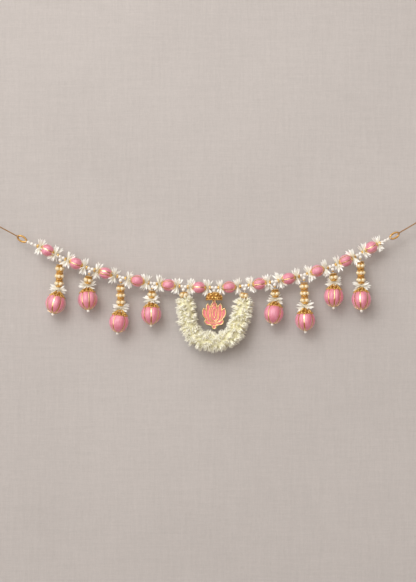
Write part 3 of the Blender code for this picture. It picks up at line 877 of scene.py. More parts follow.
def grow_fan(bm, petals, centre, outward_way, leaning_way, count, spread, chance, scale=1.0,
             towards=FRONT):
    """A fan of petals about outward_way, spread in the plane it makes with leaning_way."""
    third = outward_way.cross(leaning_way).normalized()
    for step in range(count):
        even = 2 * (step + 0.5) / count - 1
        lean = spread * even + chance.uniform(-0.10, 0.10)
        aside = chance.uniform(-0.50, 0.50)
        way = (outward_way * math.cos(lean) + leaning_way * math.sin(lean)
               + third * math.sin(aside)).normalized()
        start = centre + leaning_way * (FAN_FOOT * even) + way * FAN_LIFT
        turn = spun(chance.uniform(-36, 36))
        grown = Matrix.Scale(scale * chance.uniform(0.86, 1.04), 4)
        shape = petals[chance.randrange(len(petals))]
        stamp(bm, shape, aimed(start, way, towards) @ turn @ grown, chance.random())


def grow_tuft(bm, petals, centre, axis, first_way, spread, chance):
    """Petals tied at their middle on the axis: an uneven fan each way, a few front and back."""
    for way, fewest in ((first_way, 7), (-first_way, 6)):
        bent = (way + axis * chance.uniform(-0.24, 0.24)).normalized()
        grow_fan(bm, petals, centre, bent, axis, fewest + chance.randint(0, 2),
                 spread * chance.uniform(0.55, 1.1), chance)
    for way in (FRONT, BACK):
        bent = (way + first_way * chance.uniform(-0.8, 0.8)).normalized()
        grow_fan(bm, petals, centre, bent, axis, 3, spread, chance, 0.80, first_way)


def middle_runs(path):
    """Where the tufts, rondelles and pearls of a gap between two balls are on its path."""
    middle = path.length / 2
    pearls = (middle - PEARL_PITCH / 2, middle + PEARL_PITCH / 2)
    tufts = (FLOWER_AFTER_BALL * path.length, (1 - FLOWER_BEFORE_BALL) * path.length)
    rondelles = (pearls[0] - RONDELLE_FROM_PEARL, pearls[1] + RONDELLE_FROM_PEARL)
    return tufts, rondelles, pearls


def end_runs(path, ring_first):
    """The same for a gap between an end ring and the ball beside it."""
    slack = path.length - END_STRETCH
    pitch = END_PEARL_PITCH + PITCH_SHARE * slack
    pearls = [PEARL_RADIUS + RING_TO_PEARL + pitch * count for count in range(3)]
    rondelle = pearls[-1] + RONDELLE_FROM_PEARL + RONDELLE_SHARE * slack
    tuft = path.length - FLOWER_TO_BALL - FLOWER_SHARE * slack
    runs = ((tuft,), (rondelle,), tuple(pearls))
    if ring_first:
        return runs
    return tuple(tuple(path.length - run for run in group) for group in runs)


def line_runs(paths):
    """Each gap's path with its tufts, rondelles and pearls."""
    found = [(paths[0], *end_runs(paths[0], True))]
    found += [(path, *middle_runs(path)) for path in paths[1:-1]]
    found.append((paths[-1], *end_runs(paths[-1], False)))
    return found


def rondelle_shape(half, radius):
    """A fluted gilt bead about Z."""
    profile = ((0.0009, -half * 0.8), (radius * 0.62, -half), (radius * 0.93, -half * 0.55),
               (radius, 0.0), (radius * 0.93, half * 0.55), (radius * 0.62, half),
               (0.0009, half * 0.8))
    return as_mesh(fluted(turned(profile, 30), 10, 0.16, radius * 0.7), "Rondelle")


class TORAN_OT_line_tufts(bpy.types.Operator):
    """Ties the petal tufts of the main line beside its balls"""
    bl_idname = "toran.line_tufts"
    bl_label = "Line tufts"

    def execute(self, context):
        settings = context.scene.toran.flowers
        petals = petal_set(settings)
        bm = bmesh.new()
        chance = random.Random(11)
        for path, tufts, _, _ in line_runs(line_paths(context)):
            for run in tufts:
                centre, axis = path.at(run)
                up = axis.cross(BACK).normalized()
                grow_tuft(bm, petals, centre, axis, up, settings.spread, chance)
        names = [f"string_strand_{count:02d}" for count in range(1, len(STRING_BALLS))]
        names += ["string_end_left", "string_end_right"]
        skin = petal_skin("Petal_skin", settings.petal, settings.petal_foot, 9.0)
        piece("Line_tufts", bm, skin, names)
        return {"FINISHED"}


class TORAN_OT_line_beads(bpy.types.Operator):
    """Strings the pearls and rondelles of the main line on their thread"""
    bl_idname = "toran.line_beads"
    bl_label = "Line beads"

    def execute(self, context):
        metal = context.scene.toran.metal
        pearls, gilt, threads = (bmesh.new() for _ in range(3))
        pearl = sphere_shape("Pearl", PEARL_RADIUS + LINE_PEARL_SWELL, *PEARL_MESH)
        end_pearl = sphere_shape("End_pearl", PEARL_RADIUS + END_PEARL_SWELL, *PEARL_MESH)
        rondelle = rondelle_shape(0.0024, 0.0052)
        chance = random.Random(5)
        paths = line_paths(context)
        for index, (path, _, rondelles, strung) in enumerate(line_runs(paths)):
            between_balls = 0 < index < len(paths) - 1
            for run in strung:
                stamp_at(pearls, pearl if between_balls else end_pearl, path, run,
                         tint=chance.random())
            for run in rondelles:
                stamp_at(gilt, rondelle, path, run, chance.uniform(0, 36))
            if between_balls:
                junction, heading = path.at(path.length / 2)
                under = junction + BACK.cross(heading) * (PEARL_DROP + MIDDLE_PEARL_LOWER)
                stamp(pearls, pearl, aimed(under, heading), chance.random())
            add_wires(threads, [path.even(16)], LINE_THREAD)
        piece("Line_pearls", pearls, pearl_coat("White_pearl", metal.pearl, (0.80, 0.74, 0.66)))
        piece("Line_rondelles", gilt, gilt_metal(metal, "Gilt_rondelle"))
        piece("Line_thread", threads, white_thread())
        return {"FINISHED"}


# Drops

# Loops of wire on a dome: their points, the middle and half height as shares of the way down,
# how far aside, and the half widths of the top and foot. Then the grains: down, aside and which.
Lace = namedtuple("Lace", "steps down tall aside top foot")
LACE_LOOPS = (Lace(14, 0.66, 0.27, 0.0, 0.35, 1.0), Lace(10, 0.24, 0.13, 1.0, 0.7, 0.7))
LACE_GRAINS = ((0.72, 0.0, "large"), (0.50, 0.0, "small"), (0.36, 1.0, "small"))
LACE_REPEATS = 9


def dome_point(profile, down, angle, lift):
    """A point on a turned dome: down runs 0 to 1 along its profile of (radius, height)."""
    step = down * (len(profile) - 1)
    index = min(int(step), len(profile) - 2)
    start = Vector(profile[index])
    run = Vector(profile[index + 1]) - start
    place = start + run * (step - index) + Vector((-run.y, run.x)).normalized() * lift
    return Vector((place.x * math.cos(angle), place.x * math.sin(angle), place.y))


def filigree(profile, wire, granule):
    """Gilt lace over a dome: drop-shaped loops with a grain in each, an inner row of small
    loops, and a beaded rim."""
    bm = bmesh.new()
    grains = {"large": sphere_shape("Grain", granule, *GRAIN_MESH),
              "small": sphere_shape("Small_grain", granule * 0.72, *GRAIN_MESH)}
    half = math.pi / LACE_REPEATS * 0.92
    routes = []
    for count in range(LACE_REPEATS):
        middle = math.tau * count / LACE_REPEATS
        for lace in LACE_LOOPS:
            route = []
            for step in range(lace.steps):
                turn = math.tau * step / lace.steps
                width = lace.top + (lace.foot - lace.top) * (1 - math.cos(turn)) / 2
                route.append(dome_point(profile, lace.down - lace.tall * math.cos(turn),
                                        middle + half * (lace.aside + width * math.sin(turn)),
                                        wire * 0.6))
            routes.append(route)
        for down, aside, which in LACE_GRAINS:
            spot = dome_point(profile, down, middle + half * aside, granule * 0.45)
            stamp(bm, grains[which], Matrix.Translation(spot))
    add_wires(bm, routes, wire, cyclic=True)
    rim = LACE_REPEATS * 3
    for count in range(rim):
        spot = dome_point(profile, 0.985, math.tau * count / rim, granule * 0.2)
        stamp(bm, grains["large"], Matrix.Translation(spot))
    return as_mesh(bm, "Filigree")


def dome_shell(profile, wall, steps=32):
    """A thin turned shell from (radius, height) pairs, top first, open below."""
    inner = [(max(radius - wall, 0.0005), height - wall) for radius, height in reversed(profile)]
    inner[0] = (profile[-1][0] - wall, profile[-1][1])
    return as_mesh(turned([*profile, *inner], steps, closed=True), "Dome_shell")


def cap_profile():
    """The bell cap of a drop, from its top down to its rim, as (radius, height)."""
    rise = CAP_TOP - CAP_RIM
    shape = ((0.0036, 0.0), (0.0056, 0.12), (0.0080, 0.28), (0.0106, 0.46), (0.0134, 0.66),
             (0.0157, 0.84), (CAP_RIM_RADIUS + 0.0013, 1.09))
    return [(radius, CAP_TOP - 0.0006 - (rise - 0.0006) * down) for radius, down in shape]


def scalloped_disc(half, radius):
    profile = ((0.0012, -half), (radius * 0.80, -half), (radius, -half * 0.3), (radius, half * 0.3),
               (radius * 0.80, half), (0.0012, half))
    return as_mesh(fluted(turned(profile, 40), 10, 0.15, radius * 0.5), "Disc")


def gilt_cup():
    """A small flower-shaped cup that seats a ring of pearls from below."""
    profile = ((0.0012, 0.0006), (0.0034, 0.0010), (0.0066, 0.0020), (0.0074, 0.0008),
               (0.0058, -0.0014), (0.0030, -0.0026), (0.0012, -0.0026))
    return as_mesh(fluted(turned(profile, 40), 5, 0.22, 0.0028), "Cup")


def drop_layout(drop, line_path):
    """The path of a drop's strand and the runs of its pearl, discs, rings and tuft."""
    top = flat_point(drop.x, drop.z) - foot_direction(drop) * (CAP_TOP + KNOT_GAP)
    path = hanging_path(line_path, top)
    first = PEARL_DROP - STRAND_TOP
    last_ring = DISC_BELOW_PEARL + RING_BELOW_DISC + TIER_PITCH * (drop.tiers - 1)
    fit = (path.length - first) / (last_ring + FLOWER_BELOW_RING + END_BELOW_FLOWER)
    discs = [first + TIERS_LOWER + (DISC_BELOW_PEARL + TIER_PITCH * tier) * fit
             for tier in range(drop.tiers)]
    rings = [disc + RING_BELOW_DISC * fit for disc in discs]
    return path, first, discs, rings, first + (last_ring + FLOWER_BELOW_RING) * fit


RING_PEARLS = 5
RING_PEARL_RADIUS = 0.0047
RING_PEARL_ORBIT = 0.0078
RING_GRAIN_RADIUS = 0.0016
# Gilt grains over and under the middle of a ring of pearls: how many, how far from the thread
# and from the middle, and the degrees from the first pearl to the first grain
RING_GRAINS = ((5, 0.0066, 0.0030, 36), (10, 0.0074, 0.0054, 18))


def stamp_pearl_ring(pearls, gilt, pearl, grain, place, phase, chance):
    """Pearls round the thread, with small gilt grains in their gaps and on both sides."""
    stamp_circle(pearls, pearl, place, RING_PEARLS, RING_PEARL_ORBIT, 0.0, phase, chance)
    for count, orbit, height, after in RING_GRAINS:
        for side in (-height, height):
            stamp_circle(gilt, grain, place, count, orbit, side, phase + after)


class TORAN_OT_drop_balls(bpy.types.Operator):
    """Winds the eight large balls with their ribbons, bell caps and foot pearls"""
    bl_idname = "toran.drop_balls"
    bl_label = "Drop balls"

    def execute(self, context):
        settings = context.scene.toran.balls
        metal = context.scene.toran.metal
        radius = settings.drop_radius
        thread = wound_thread(settings)
        ribbon_gilt = gilt_ribbon(metal)
        lace_gilt = gilt_metal(metal, "Gilt_filigree", 0.18)
        # Painted shade: the shells under the lace are gilt darkened past its tarnish, to stand for
        # the shade in the hollows of the caps.
        lining_painted_shade = gilt_metal(metal, "Gilt_lining_painted_shade", 1.05, 0.6)
        profile = cap_profile()
        shell = dome_shell(profile, 0.0005)
        lace = filigree(profile, metal.wire, metal.granule)
        pearl = sphere_shape("Pearl", PEARL_RADIUS, *PEARL_MESH)
        feet, shells = bmesh.new(), bmesh.new()
        for count, drop in enumerate(DROPS, 1):
            place = aimed(flat_point(drop.x, drop.z), -foot_direction(drop))
            wound, strips = ball_shapes(DROP_BALL, radius, radius, with_backs(drop.ribbons),
                                        settings.drop_ribbon, settings.groove)
            piece(f"Drop_ball_{count}", stamped(place, wound), thread,
                  [f"drop_ball_{count}"])
            piece(f"Drop_ribbons_{count}", stamped(place, *strips), ribbon_gilt)
            piece(f"Bell_cap_{count}", stamped(place, lace), lace_gilt,
                  [f"drop_cap_{count}"])
            stamp(shells, shell, place)
            foot = Vector((0, 0, -radius - PEARL_RADIUS * 0.82))
            stamp(feet, pearl, place @ Matrix.Translation(foot))
        piece("Bell_cap_linings", shells, lining_painted_shade)
        piece("Foot_pearls", feet, pearl_coat("Foot_pearl", metal.pearl, (0.80, 0.74, 0.62)))
        return {"FINISHED"}


class TORAN_OT_drop_strands(bpy.types.Operator):
    """Strings the tiers of pearls and gilt, and ties a tuft on each bell cap"""
    bl_idname = "toran.drop_strands"
    bl_label = "Drop strands"

    def execute(self, context):
        metal = context.scene.toran.metal
        flowers = context.scene.toran.flowers
        petals = petal_set(flowers)
        pearl = sphere_shape("Tier_pearl", RING_PEARL_RADIUS, 16, 10)
        grain = sphere_shape("Tier_grain", RING_GRAIN_RADIUS, *GRAIN_MESH)
        neck = rondelle_shape(0.0014, 0.0034)
        collar = rondelle_shape(0.0018, 0.0078)
        disc = scalloped_disc(0.0010, 0.0096)
        cup = gilt_cup()
        pearls, gilt, threads, tufts = (bmesh.new() for _ in range(4))
        chance = random.Random(23)

        def hang_ring(path, run, phase):
            """Strings a ring of pearls and the cup below it, and says where the cup is."""
            stamp_pearl_ring(pearls, gilt, pearl, grain, aimed(*path.at(run)), phase, chance)
            centre, axis = path.at(run + CUP_BELOW_RING)
            stamp(gilt, cup, aimed(centre, -axis))
            return centre, axis

        paths = line_paths(context)
        for drop in DROPS:
            path, first, discs, rings, tuft = drop_layout(drop, paths[drop.junction])
            stamp_at(gilt, neck, path, first + BEAD_BELOW_PEARL)
            for tier, (disc_run, ring_run) in enumerate(zip(discs, rings)):
                stamp_at(gilt, disc, path, disc_run - DISC_PAIR_OFFSET)
                stamp_at(gilt, disc, path, disc_run + DISC_PAIR_OFFSET, 18)
                stamp_at(gilt, cup, path, ring_run - CUP_BELOW_RING * CUP_NEARER_ABOVE, 36)
                centre, axis = hang_ring(path, ring_run, 36 if tier % 2 == 0 else 0)
                stamp(gilt, collar, aimed(centre + axis * COLLAR_BELOW_CUP, axis))
            self.tie_tuft(tufts, petals, path.at(tuft), chance)
            add_wires(threads, [path.even(20)], DROP_THREAD)
        for end, junction in zip((GARLAND_ROUTE[0], GARLAND_ROUTE[-1]), GARLAND_JUNCTIONS):
            path = hanging_path(paths[junction], flat_point(*end) + UP * KNOT_GAP)
            room = path.length - (PEARL_DROP - STRAND_TOP) - PEARL_RADIUS
            ring_run = path.length - HANGER_RING_SHARE * room
            stamp_at(gilt, disc, path, ring_run - HANGER_DISC_ABOVE_RING)
            hang_ring(path, ring_run, 36)
            add_wires(threads, [path.even(20)], DROP_THREAD)
        names = [f"drop_strand_{count}" for count in range(1, len(DROPS) + 1)]
        skin = petal_skin("Drop_petal_skin", flowers.petal, flowers.petal_foot, 9.0)
        piece("Drop_tufts", tufts, skin)
        piece("Tier_pearls", pearls,
              pearl_coat("Champagne_pearl", metal.champagne, (0.94, 0.82, 0.58)),
              [*names, "garland_hanger_left", "garland_hanger_right"])
        piece("Tier_gilt", gilt, gilt_metal(metal, "Gilt_tier", 0.10, 0.46))
        piece("Drop_threads", threads, white_thread())
        return {"FINISHED"}

    def tie_tuft(self, bm, petals, tied, chance):
        """The tuft on a bell cap: a fan to each side, a full one in front and one behind."""
        centre, axis = tied
        side = BACK.cross(axis).normalized()
        centre += axis * TUFT_LOWER
        for way in (side, -side):
            grow_fan(bm, petals, centre, way, -axis, 6, 0.66, chance)
        low = centre + axis * 0.0012
        grow_fan(bm, petals, low, (FRONT + axis * 0.60).normalized(), side, 8, 1.1, chance,
                 0.70, UP)
        grow_fan(bm, petals, low, (BACK + axis * 0.3).normalized(), side, 4, 0.8, chance,
                 0.80, UP)


# Garland

BUD_OUTLINE = ((0.34, 0.0), (0.96, 0.32), (0.70, 0.66), (0.02, 1.0))
# Kinds of buds: length and width as shares of the settings, and how far open, in degrees
BUD_KINDS = ((1, 1, 13), (0.92, 1.08, 18), (1.08, 0.92, 9), (0.86, 1, 23))
# Lengths of the garland's ends: without buds, with buds bent outward, and slimmer
BUDS_FROM_END = 0.004
BUDS_BENT_OUT = 0.014
SLIM_ENDS = 0.030
BEND_AT_ENDS = 0.5
# How far the feet of the buds stand off the thread, and how much more in front and behind
BUD_SEAT = 0.0094
BUD_SEAT_MORE = 0.0024
CORE_RADIUS = 0.0150
CORE_FROM_END = 0.005


def bud_shape(length, width, opening, chance):
    """A bud along Z that has begun to open: pointed petals spread from one foot."""
    blade = turned([(wide * width / 2, up * length) for wide, up in BUD_OUTLINE], 5)
    run = blade.verts.layers.float.new("run")
    across = blade.verts.layers.float.new("across")
    for vert in blade.verts:
        vert[run] = vert.co.z / length
        vert[across] = vert.co.y / width
    blade = as_mesh(blade, "Blade")
    bm = bmesh.new()
    for count in range(4):
        tilt = opening * chance.uniform(0.7, 1.3) * (count > 0)
        spread = spun(120 * count + chance.uniform(-25, 25)) @ Matrix.Rotation(tilt, 4, "Y")
        stamp(bm, blade, spread @ Matrix.Diagonal((0.6, 1, chance.uniform(0.82, 1.06), 1)))
    return as_mesh(bm, "Bud")


class TORAN_OT_garland(bpy.types.Operator):
    """Threads the buds of the garland round its core"""
    bl_idname = "toran.garland"
    bl_label = "Garland of buds"

    def execute(self, context):
        settings = context.scene.toran.flowers
        path = Path(smooth_curve([(x, 0, z) for x, z in GARLAND_ROUTE]))
        chance = random.Random(41)
        buds = [bud_shape(settings.bud_length * long, settings.bud_width * wide,
                          math.radians(opening), chance) for long, wide, opening in BUD_KINDS]
        bm = bmesh.new()
        rows = settings.bud_rows
        columns = settings.bud_columns
        for row in range(rows):
            run = BUDS_FROM_END + (path.length - 2 * BUDS_FROM_END) * row / (rows - 1)
            centre, heading = path.at(run)
            up = heading.cross(BACK)
            near_end = min(run, path.length - run)
            swell = min(1.0, 0.65 + near_end / SLIM_ENDS)
            for column in range(columns):
                turn = math.tau * (column + 0.5 * (row % 2) + chance.uniform(-0.22, 0.22)) / columns
                out = BACK * math.cos(turn) + up * math.sin(turn)
                facing = abs(out.y)
                sideways = chance.uniform(-1.15, 1.15)
                tilt = chance.gauss(0.0, 0.28)
                if near_end < BUDS_BENT_OUT:
                    tilt += BEND_AT_ENDS if run > path.length / 2 else -BEND_AT_ENDS
                way = (out * (1 - 0.35 * facing) + up * (sideways * facing)
                       + heading * tilt - UP * 0.12).normalized()
                start = centre + out * ((BUD_SEAT + BUD_SEAT_MORE * facing) * swell)
                scale = swell * chance.uniform(0.86, 1.16)
                place = aimed(start, way, heading) @ spun(chance.uniform(0, 60))
                shape = buds[chance.randrange(len(buds))]
                stamp(bm, shape, place @ Matrix.Scale(scale, 4), chance.random())
        skin = petal_skin("Bud_skin", settings.bud, settings.bud_foot, 3.0)
        piece("Garland_buds", bm, skin, ["bud_garland"], sharp=150)
        core = bmesh.new()
        add_wires(core, [path.even(40, CORE_FROM_END)], CORE_RADIUS, resolution=5)
        piece("Garland_core", core, garland_core())
        return {"FINISHED"}


# Plaque


def arc(start, end, bulge, steps):
    """Points after start up to end, on an arc that bulges left by that share of its chord."""
    chord = end - start
    side = Vector((-chord.y, chord.x))
    points = []
    for step in range(1, steps + 1):
        part = step / steps
        points.append(start + chord * part + side * (4 * bulge * part * (1 - part)))
    return points


Edge = namedtuple("Edge", "across down bulge steps")
PLAQUE_EDGES = (
    Edge(0.13, 0.075, 0.35, 4),
    Edge(0.34, 0.250, 0.10, 3),
    Edge(0.60, 0.120, 0.12, 3),
    Edge(0.70, 0.360, 0.16, 4),
    Edge(1.00, 0.275, 0.10, 3),
    Edge(0.80, 0.660, 0.20, 5),
    Edge(0.92, 0.735, 0.06, 2),
    Edge(0.45, 0.860, 0.22, 4),
    Edge(0.20, 0.880, -0.12, 2),
    Edge(0.0, 1.000, 0.28, 4),
)
# Lines of the lotus on the right half: a start, then edges
LOTUS_LINES = (
    ((0.0, 0.16), (Edge(0.27, 0.42, 0.14, 5), Edge(0.0, 0.74, 0.20, 6))),
    ((0.34, 0.250), (Edge(0.42, 0.50, 0.10, 4), Edge(0.10, 0.76, 0.16, 5))),
    ((0.70, 0.360), (Edge(0.66, 0.60, 0.12, 4), Edge(0.22, 0.79, 0.14, 5))),
    ((0.80, 0.660), (Edge(0.0, 0.80, 0.10, 7),)),
    ((0.45, 0.860), (Edge(0.0, 0.88, 0.05, 5),)),
    ((0.0, 0.30), (Edge(0.12, 0.45, 0.12, 4), Edge(0.0, 0.62, 0.18, 4))),
)
ENAMEL_INSET = 0.0016
ENAMEL_RISE = 0.00035
RIM_INSET = 0.0011
RIM_WIRE = 0.0016
LOTUS_WIRE = 0.0011
DOME_OUTLINE = ((0.20, 0.0), (0.46, 0.05), (0.68, 0.18), (0.85, 0.38), (0.96, 0.62), (1.0, 0.85),
                (0.96, 1.0))


def plaque_point(across, down):
    return Vector((across * PLAQUE_TIP_REACH, -down * PLAQUE_HEIGHT))


def plaque_line(start, edges, finer):
    points = [plaque_point(*start)]
    for edge in edges:
        points += arc(points[-1], plaque_point(edge.across, edge.down), edge.bulge,
                      edge.steps * finer)
    return points


def plaque_outline():
    right = plaque_line((0, 0), PLAQUE_EDGES, 3)
    return right + [Vector((-point.x, point.y)) for point in reversed(right[1:-1])]


def plate(outline, front, back, top):
    """A flat plate of that outline between two depths."""
    bm = bmesh.new()
    verts = [bm.verts.new(top + Vector((point.x, front, point.y))) for point in outline]
    face = bm.faces.new(verts)
    raised = bmesh.ops.extrude_face_region(bm, geom=[face])["geom"]
    moved = [item for item in raised if isinstance(item, bmesh.types.BMVert)]
    bmesh.ops.translate(bm, verts=moved, vec=(0, back - front, 0))
    outward(bm)
    return bm


def inset_outline(outline, distance):
    """The outline moved in by a distance, each point along the mean of its edges' normals."""
    moved = []
    count = len(outline)
    for index, point in enumerate(outline):
        before = (point - outline[index - 1]).normalized()
        after = (outline[(index + 1) % count] - point).normalized()
        along = (before + after).normalized()
        moved.append(point + Vector((along.y, -along.x)) * distance)
    return moved


def plaque_place(context):
    """The crown of the dome under its pearl, and the top of the plaque under the dome."""
    path = line_paths(context)[PLAQUE_JUNCTION]
    junction, _ = path.at(path.length / 2)
    crown = junction - UP * (PEARL_DROP + PEARL_RADIUS + SEAT_GAP)
    return crown, crown - UP * (DOME_HEIGHT + SEAT_GAP)


class TORAN_OT_plaque(bpy.types.Operator):
    """Makes the enamelled lotus plaque and the filigree dome that it hangs from"""
    bl_idname = "toran.plaque"
    bl_label = "Lotus plaque"

    def execute(self, context):
        metal = context.scene.toran.metal
        crown, top = plaque_place(context)
        outline = plaque_outline()
        face = -PLAQUE_THICKNESS / 2
        gilt = plate(outline, face, -face, top)
        bmesh.ops.bevel(gilt, geom=[edge for edge in gilt.edges if edge.calc_face_angle(0) > 1.2],
                        offset=0.0004, offset_type="OFFSET", segments=2, profile=0.5,
                        affect="EDGES", material=-1)
        piece("Plaque_plate", gilt, gilt_metal(metal, "Gilt_plate"))
        field = plate(inset_outline(outline, ENAMEL_INSET), face - ENAMEL_RISE, face + 0.0002, top)
        piece("Plaque_enamel", field, enamel_glaze(metal), ["plaque"])
        lines = bmesh.new()
        rim = [top + Vector((point.x, face - 0.0003, point.y))
               for point in inset_outline(outline, RIM_INSET)]
        add_wires(lines, [rim], RIM_WIRE, cyclic=True, resolution=2)
        routes = [[top + Vector((point.x * side, face - 0.0004, point.y))
                   for point in plaque_line(start, edges, 2)]
                  for start, edges in LOTUS_LINES for side in (1, -1)]
        add_wires(lines, routes, LOTUS_WIRE, resolution=2)
        piece("Plaque_lines", lines, gilt_ribbon(metal))
        self.hang_dome(metal, crown, top)
        return {"FINISHED"}

    def hang_dome(self, metal, crown, top):
        profile = [(wide * DOME_RADIUS, -down * DOME_HEIGHT) for wide, down in DOME_OUTLINE]
        place = Matrix.Translation(crown)
        # Painted shade: the shell under the dome's lace is gilt darkened past its tarnish, to stand
        # for the shade in its hollows.
        piece("Plaque_dome_lining", stamped(place, dome_shell(profile, 0.0006, 40)),
              gilt_metal(metal, "Gilt_dome_lining_painted_shade", 1.12, 0.6))
        lace = stamped(place, filigree(profile, metal.wire * 1.1, metal.granule * 1.1))
        self.add_rosette(lace, crown + Vector((0, -DOME_RADIUS - 0.0004, -0.46 * DOME_HEIGHT)))
        loop = ellipse(top + UP * 0.0006, RIGHT * 0.0022, UP * 0.0026, 16)
        add_wires(lace, [loop], 0.0006, cyclic=True, resolution=2)
        piece("Plaque_dome", lace, gilt_metal(metal, "Gilt_dome", 0.32),
              ["plaque_hanger"])

    def add_rosette(self, bm, centre):
        """A five-petalled gilt rosette that faces the front."""
        place = aimed(centre, FRONT, UP)
        blade = sphere_shape("Rosette_petal", 1.0, 14, 8)
        for count in range(5):
            petal = (place @ spun(72 * count) @ Matrix.Translation((0.0050, 0, 0.0002))
                     @ Matrix.Rotation(math.radians(-18), 4, "Y")
                     @ Matrix.Diagonal((0.0042, 0.0028, 0.0010, 1)))
            stamp(bm, blade, petal)
        eye = sphere_shape("Rosette_eye", 0.0022, 14, 8)
        stamp(bm, eye, place @ Matrix.Translation((0, 0, 0.0008)))
        grain = sphere_shape("Rosette_grain", 0.0008, *GRAIN_MESH)
        stamp_circle(bm, grain, place, 10, 0.0030, 0.0012, 18)


# End rings and cords

RING_WIRE_RADIUS = RING_WIRE / 2 + 0.0007
PLY_ORBIT = 0.00075
CORD_PLY = 0.00098
LOOP_PLY = 0.00095
KNOT_PLY = 0.00125
KNOT_ORBIT = 0.0019


def oval(centre, axis, length, width, count):
    """Points round an oval in the plane of the front, its long side on the axis."""
    across = axis.cross(BACK).normalized()
    return ellipse(centre, axis * (length / 2), across * (width / 2), count)


def wraps(centre, axis, offsets, reach, count, drawn=0.0):
    """Turns side by side round the wire of a ring, those further out drawn along the axis."""
    across = axis.cross(BACK).normalized()
    return [ellipse(centre + across * offset - axis * (abs(offset) * drawn), axis * reach,
                    BACK * reach, count) for offset in offsets]


def plies(path, turns, count):
    """Two strands twisted round each other along a path."""
    routes = []
    for phase in (0, math.pi):
        route = []
        for step in range(count + 1):
            place, heading = path.at(path.length * step / count)
            up = heading.cross(BACK)
            turn = phase + math.tau * turns * step / count
            route.append(place + (BACK * math.cos(turn) + up * math.sin(turn)) * PLY_ORBIT)
        routes.append(route)
    return routes


class TORAN_OT_ties(bpy.types.Operator):
    """Bends the two end rings and ties on the taut cords with their knots and loops"""
    bl_idname = "toran.ties"
    bl_label = "End rings and ties"

    def execute(self, context):
        metal = context.scene.toran.metal
        cord_finish = twisted_cord(metal)
        ring_finish = gilt_metal(metal, "Gilt_ring", 0.60)
        thread = white_thread()
        for side, ring in END_RINGS.items():
            centre = flat_point(ring.x, ring.z)
            axis = ring_axis(ring)
            bm = bmesh.new()
            route = oval(centre, axis, RING_LENGTH - RING_WIRE, RING_WIDTH - RING_WIRE, 48)
            add_wires(bm, [route], RING_WIRE_RADIUS, cyclic=True, resolution=3)
            piece(f"End_ring_{side}", bm, ring_finish, [f"end_ring_{side}"])
            self.tie_thread(side, centre, axis, thread)
            self.tie_cord(side, centre, axis, cord_finish)
        return {"FINISHED"}

    def tie_thread(self, side, centre, axis, finish):
        """The beads' white thread, passed round the near end of the ring."""
        bm = bmesh.new()
        inner_end = centre - axis * (RING_LENGTH / 2 - RING_WIRE / 2)
        turns = wraps(inner_end, axis, (-0.0008, 0.0008), RING_WIRE / 2 + 0.0004, 16)
        add_wires(bm, turns, 0.0005, cyclic=True)
        piece(f"Ring_thread_{side}", bm, finish)

    def tie_cord(self, side, centre, axis, finish):
        """The cord, its knot and loop at the far end, and its hitch on the ring."""
        path = Path(smooth_curve([(x, 0, z) for x, z in CORD_ROUTES[side]]))
        cord_mesh = bmesh.new()
        add_wires(cord_mesh, plies(path, 9, 108), CORD_PLY, resolution=2)
        cord = piece(f"Tie_cord_{side}", cord_mesh, finish, [f"tie_cord_{side}"])
        end, heading = path.at(path.length)
        start = end + heading * SEAT_GAP
        knot = bmesh.new()
        middle = start + heading * (KNOT_LENGTH * 0.45)
        up = heading.cross(BACK)
        coils = [ellipse(middle + heading * offset, BACK * KNOT_ORBIT,
                         up * KNOT_ORBIT + heading * 0.0007, 20)
                 for offset in (-0.0017, 0.0, 0.0017)]
        add_wires(knot, coils, KNOT_PLY, cyclic=True, resolution=2)
        eye = start + heading * (KNOT_LENGTH - LOOP_IN_KNOT + LOOP_LENGTH / 2)
        rim = oval(eye, heading, LOOP_LENGTH - CORD_DIAMETER, LOOP_WIDTH - CORD_DIAMETER, 96)
        loop_path = Path([*rim, rim[0]])
        closed = [route[:-1] for route in plies(loop_path, 8, 96)]
        add_wires(knot, closed, LOOP_PLY, cyclic=True, resolution=2)
        loop = piece(f"Tie_loop_{side}", knot, finish, [f"tie_loop_{side}"])
        hitch = bmesh.new()
        outer_end = centre + axis * (RING_LENGTH / 2 - RING_WIRE / 2)
        turns = wraps(outer_end, axis, (-0.0022, 0.0, 0.0022), RING_WIRE_RADIUS, 18, 0.35)
        add_wires(hitch, turns, 0.0009, cyclic=True, resolution=2)
        piece(f"Cord_hitch_{side}", hitch, finish)


# Stage

WALL_Y = 0.036
FLOOR_Z = -1.05
AIM = Vector((0, 0, -0.2))
KEY_PLACE = Vector((-1.05, -2.7, 1.5))
KEY_SIZE = (1.6, 1.3)
KEY_TONE = (1.0, 0.97, 0.93)
VIEW_HEIGHT = 1.455
CAMERA_Z = -0.1725
CLOTH_SCALES = (((16, 16, 260), 5), ((260, 16, 16), 5), ((90, 90, 1100), 2), ((1100, 90, 90), 2))


def cloth_wall(settings):
    """Plain pale linen: slow cloudiness and a fine weave."""
    finish = Finish("Wall_cloth", Roughness=0.9)
    places = finish.places()
    weave = 1.0
    if settings.show_weave:
        slub, slub_up, fine, fine_up = [finish.noise(finish.stretched(places, scale), 1.0, detail)
                                        for scale, detail in CLOTH_SCALES]
        weave = finish.weighed(finish.plus(slub, slub_up), finish.plus(fine, fine_up), 0.42)
        finish.bump(weave, 0.25, 0.0008)
    tone = finish.weighed(finish.noise(places, 3.0, 5), weave, 0.3)
    finish.coloured(finish.ramp(tone, 0.65, 1.05), shade(settings.wall, 0.90),
                    shade(settings.wall, 1.07))
    return finish.material


def one_sided(finish):
    """Lets a backdrop be seen only from its front, so that it hides nothing from behind."""
    tree = finish.node_tree
    output = tree.nodes["Material Output"]
    side = tree.nodes.new("ShaderNodeNewGeometry")
    clear = tree.nodes.new("ShaderNodeBsdfTransparent")
    either = tree.nodes.new("ShaderNodeMixShader")
    tree.links.new(side.outputs["Backfacing"], either.inputs[0])
    tree.links.new(tree.nodes["Principled BSDF"].outputs[0], either.inputs[1])
    tree.links.new(clear.outputs[0], either.inputs[2])
    tree.links.new(either.outputs[0], output.inputs["Surface"])
    return finish


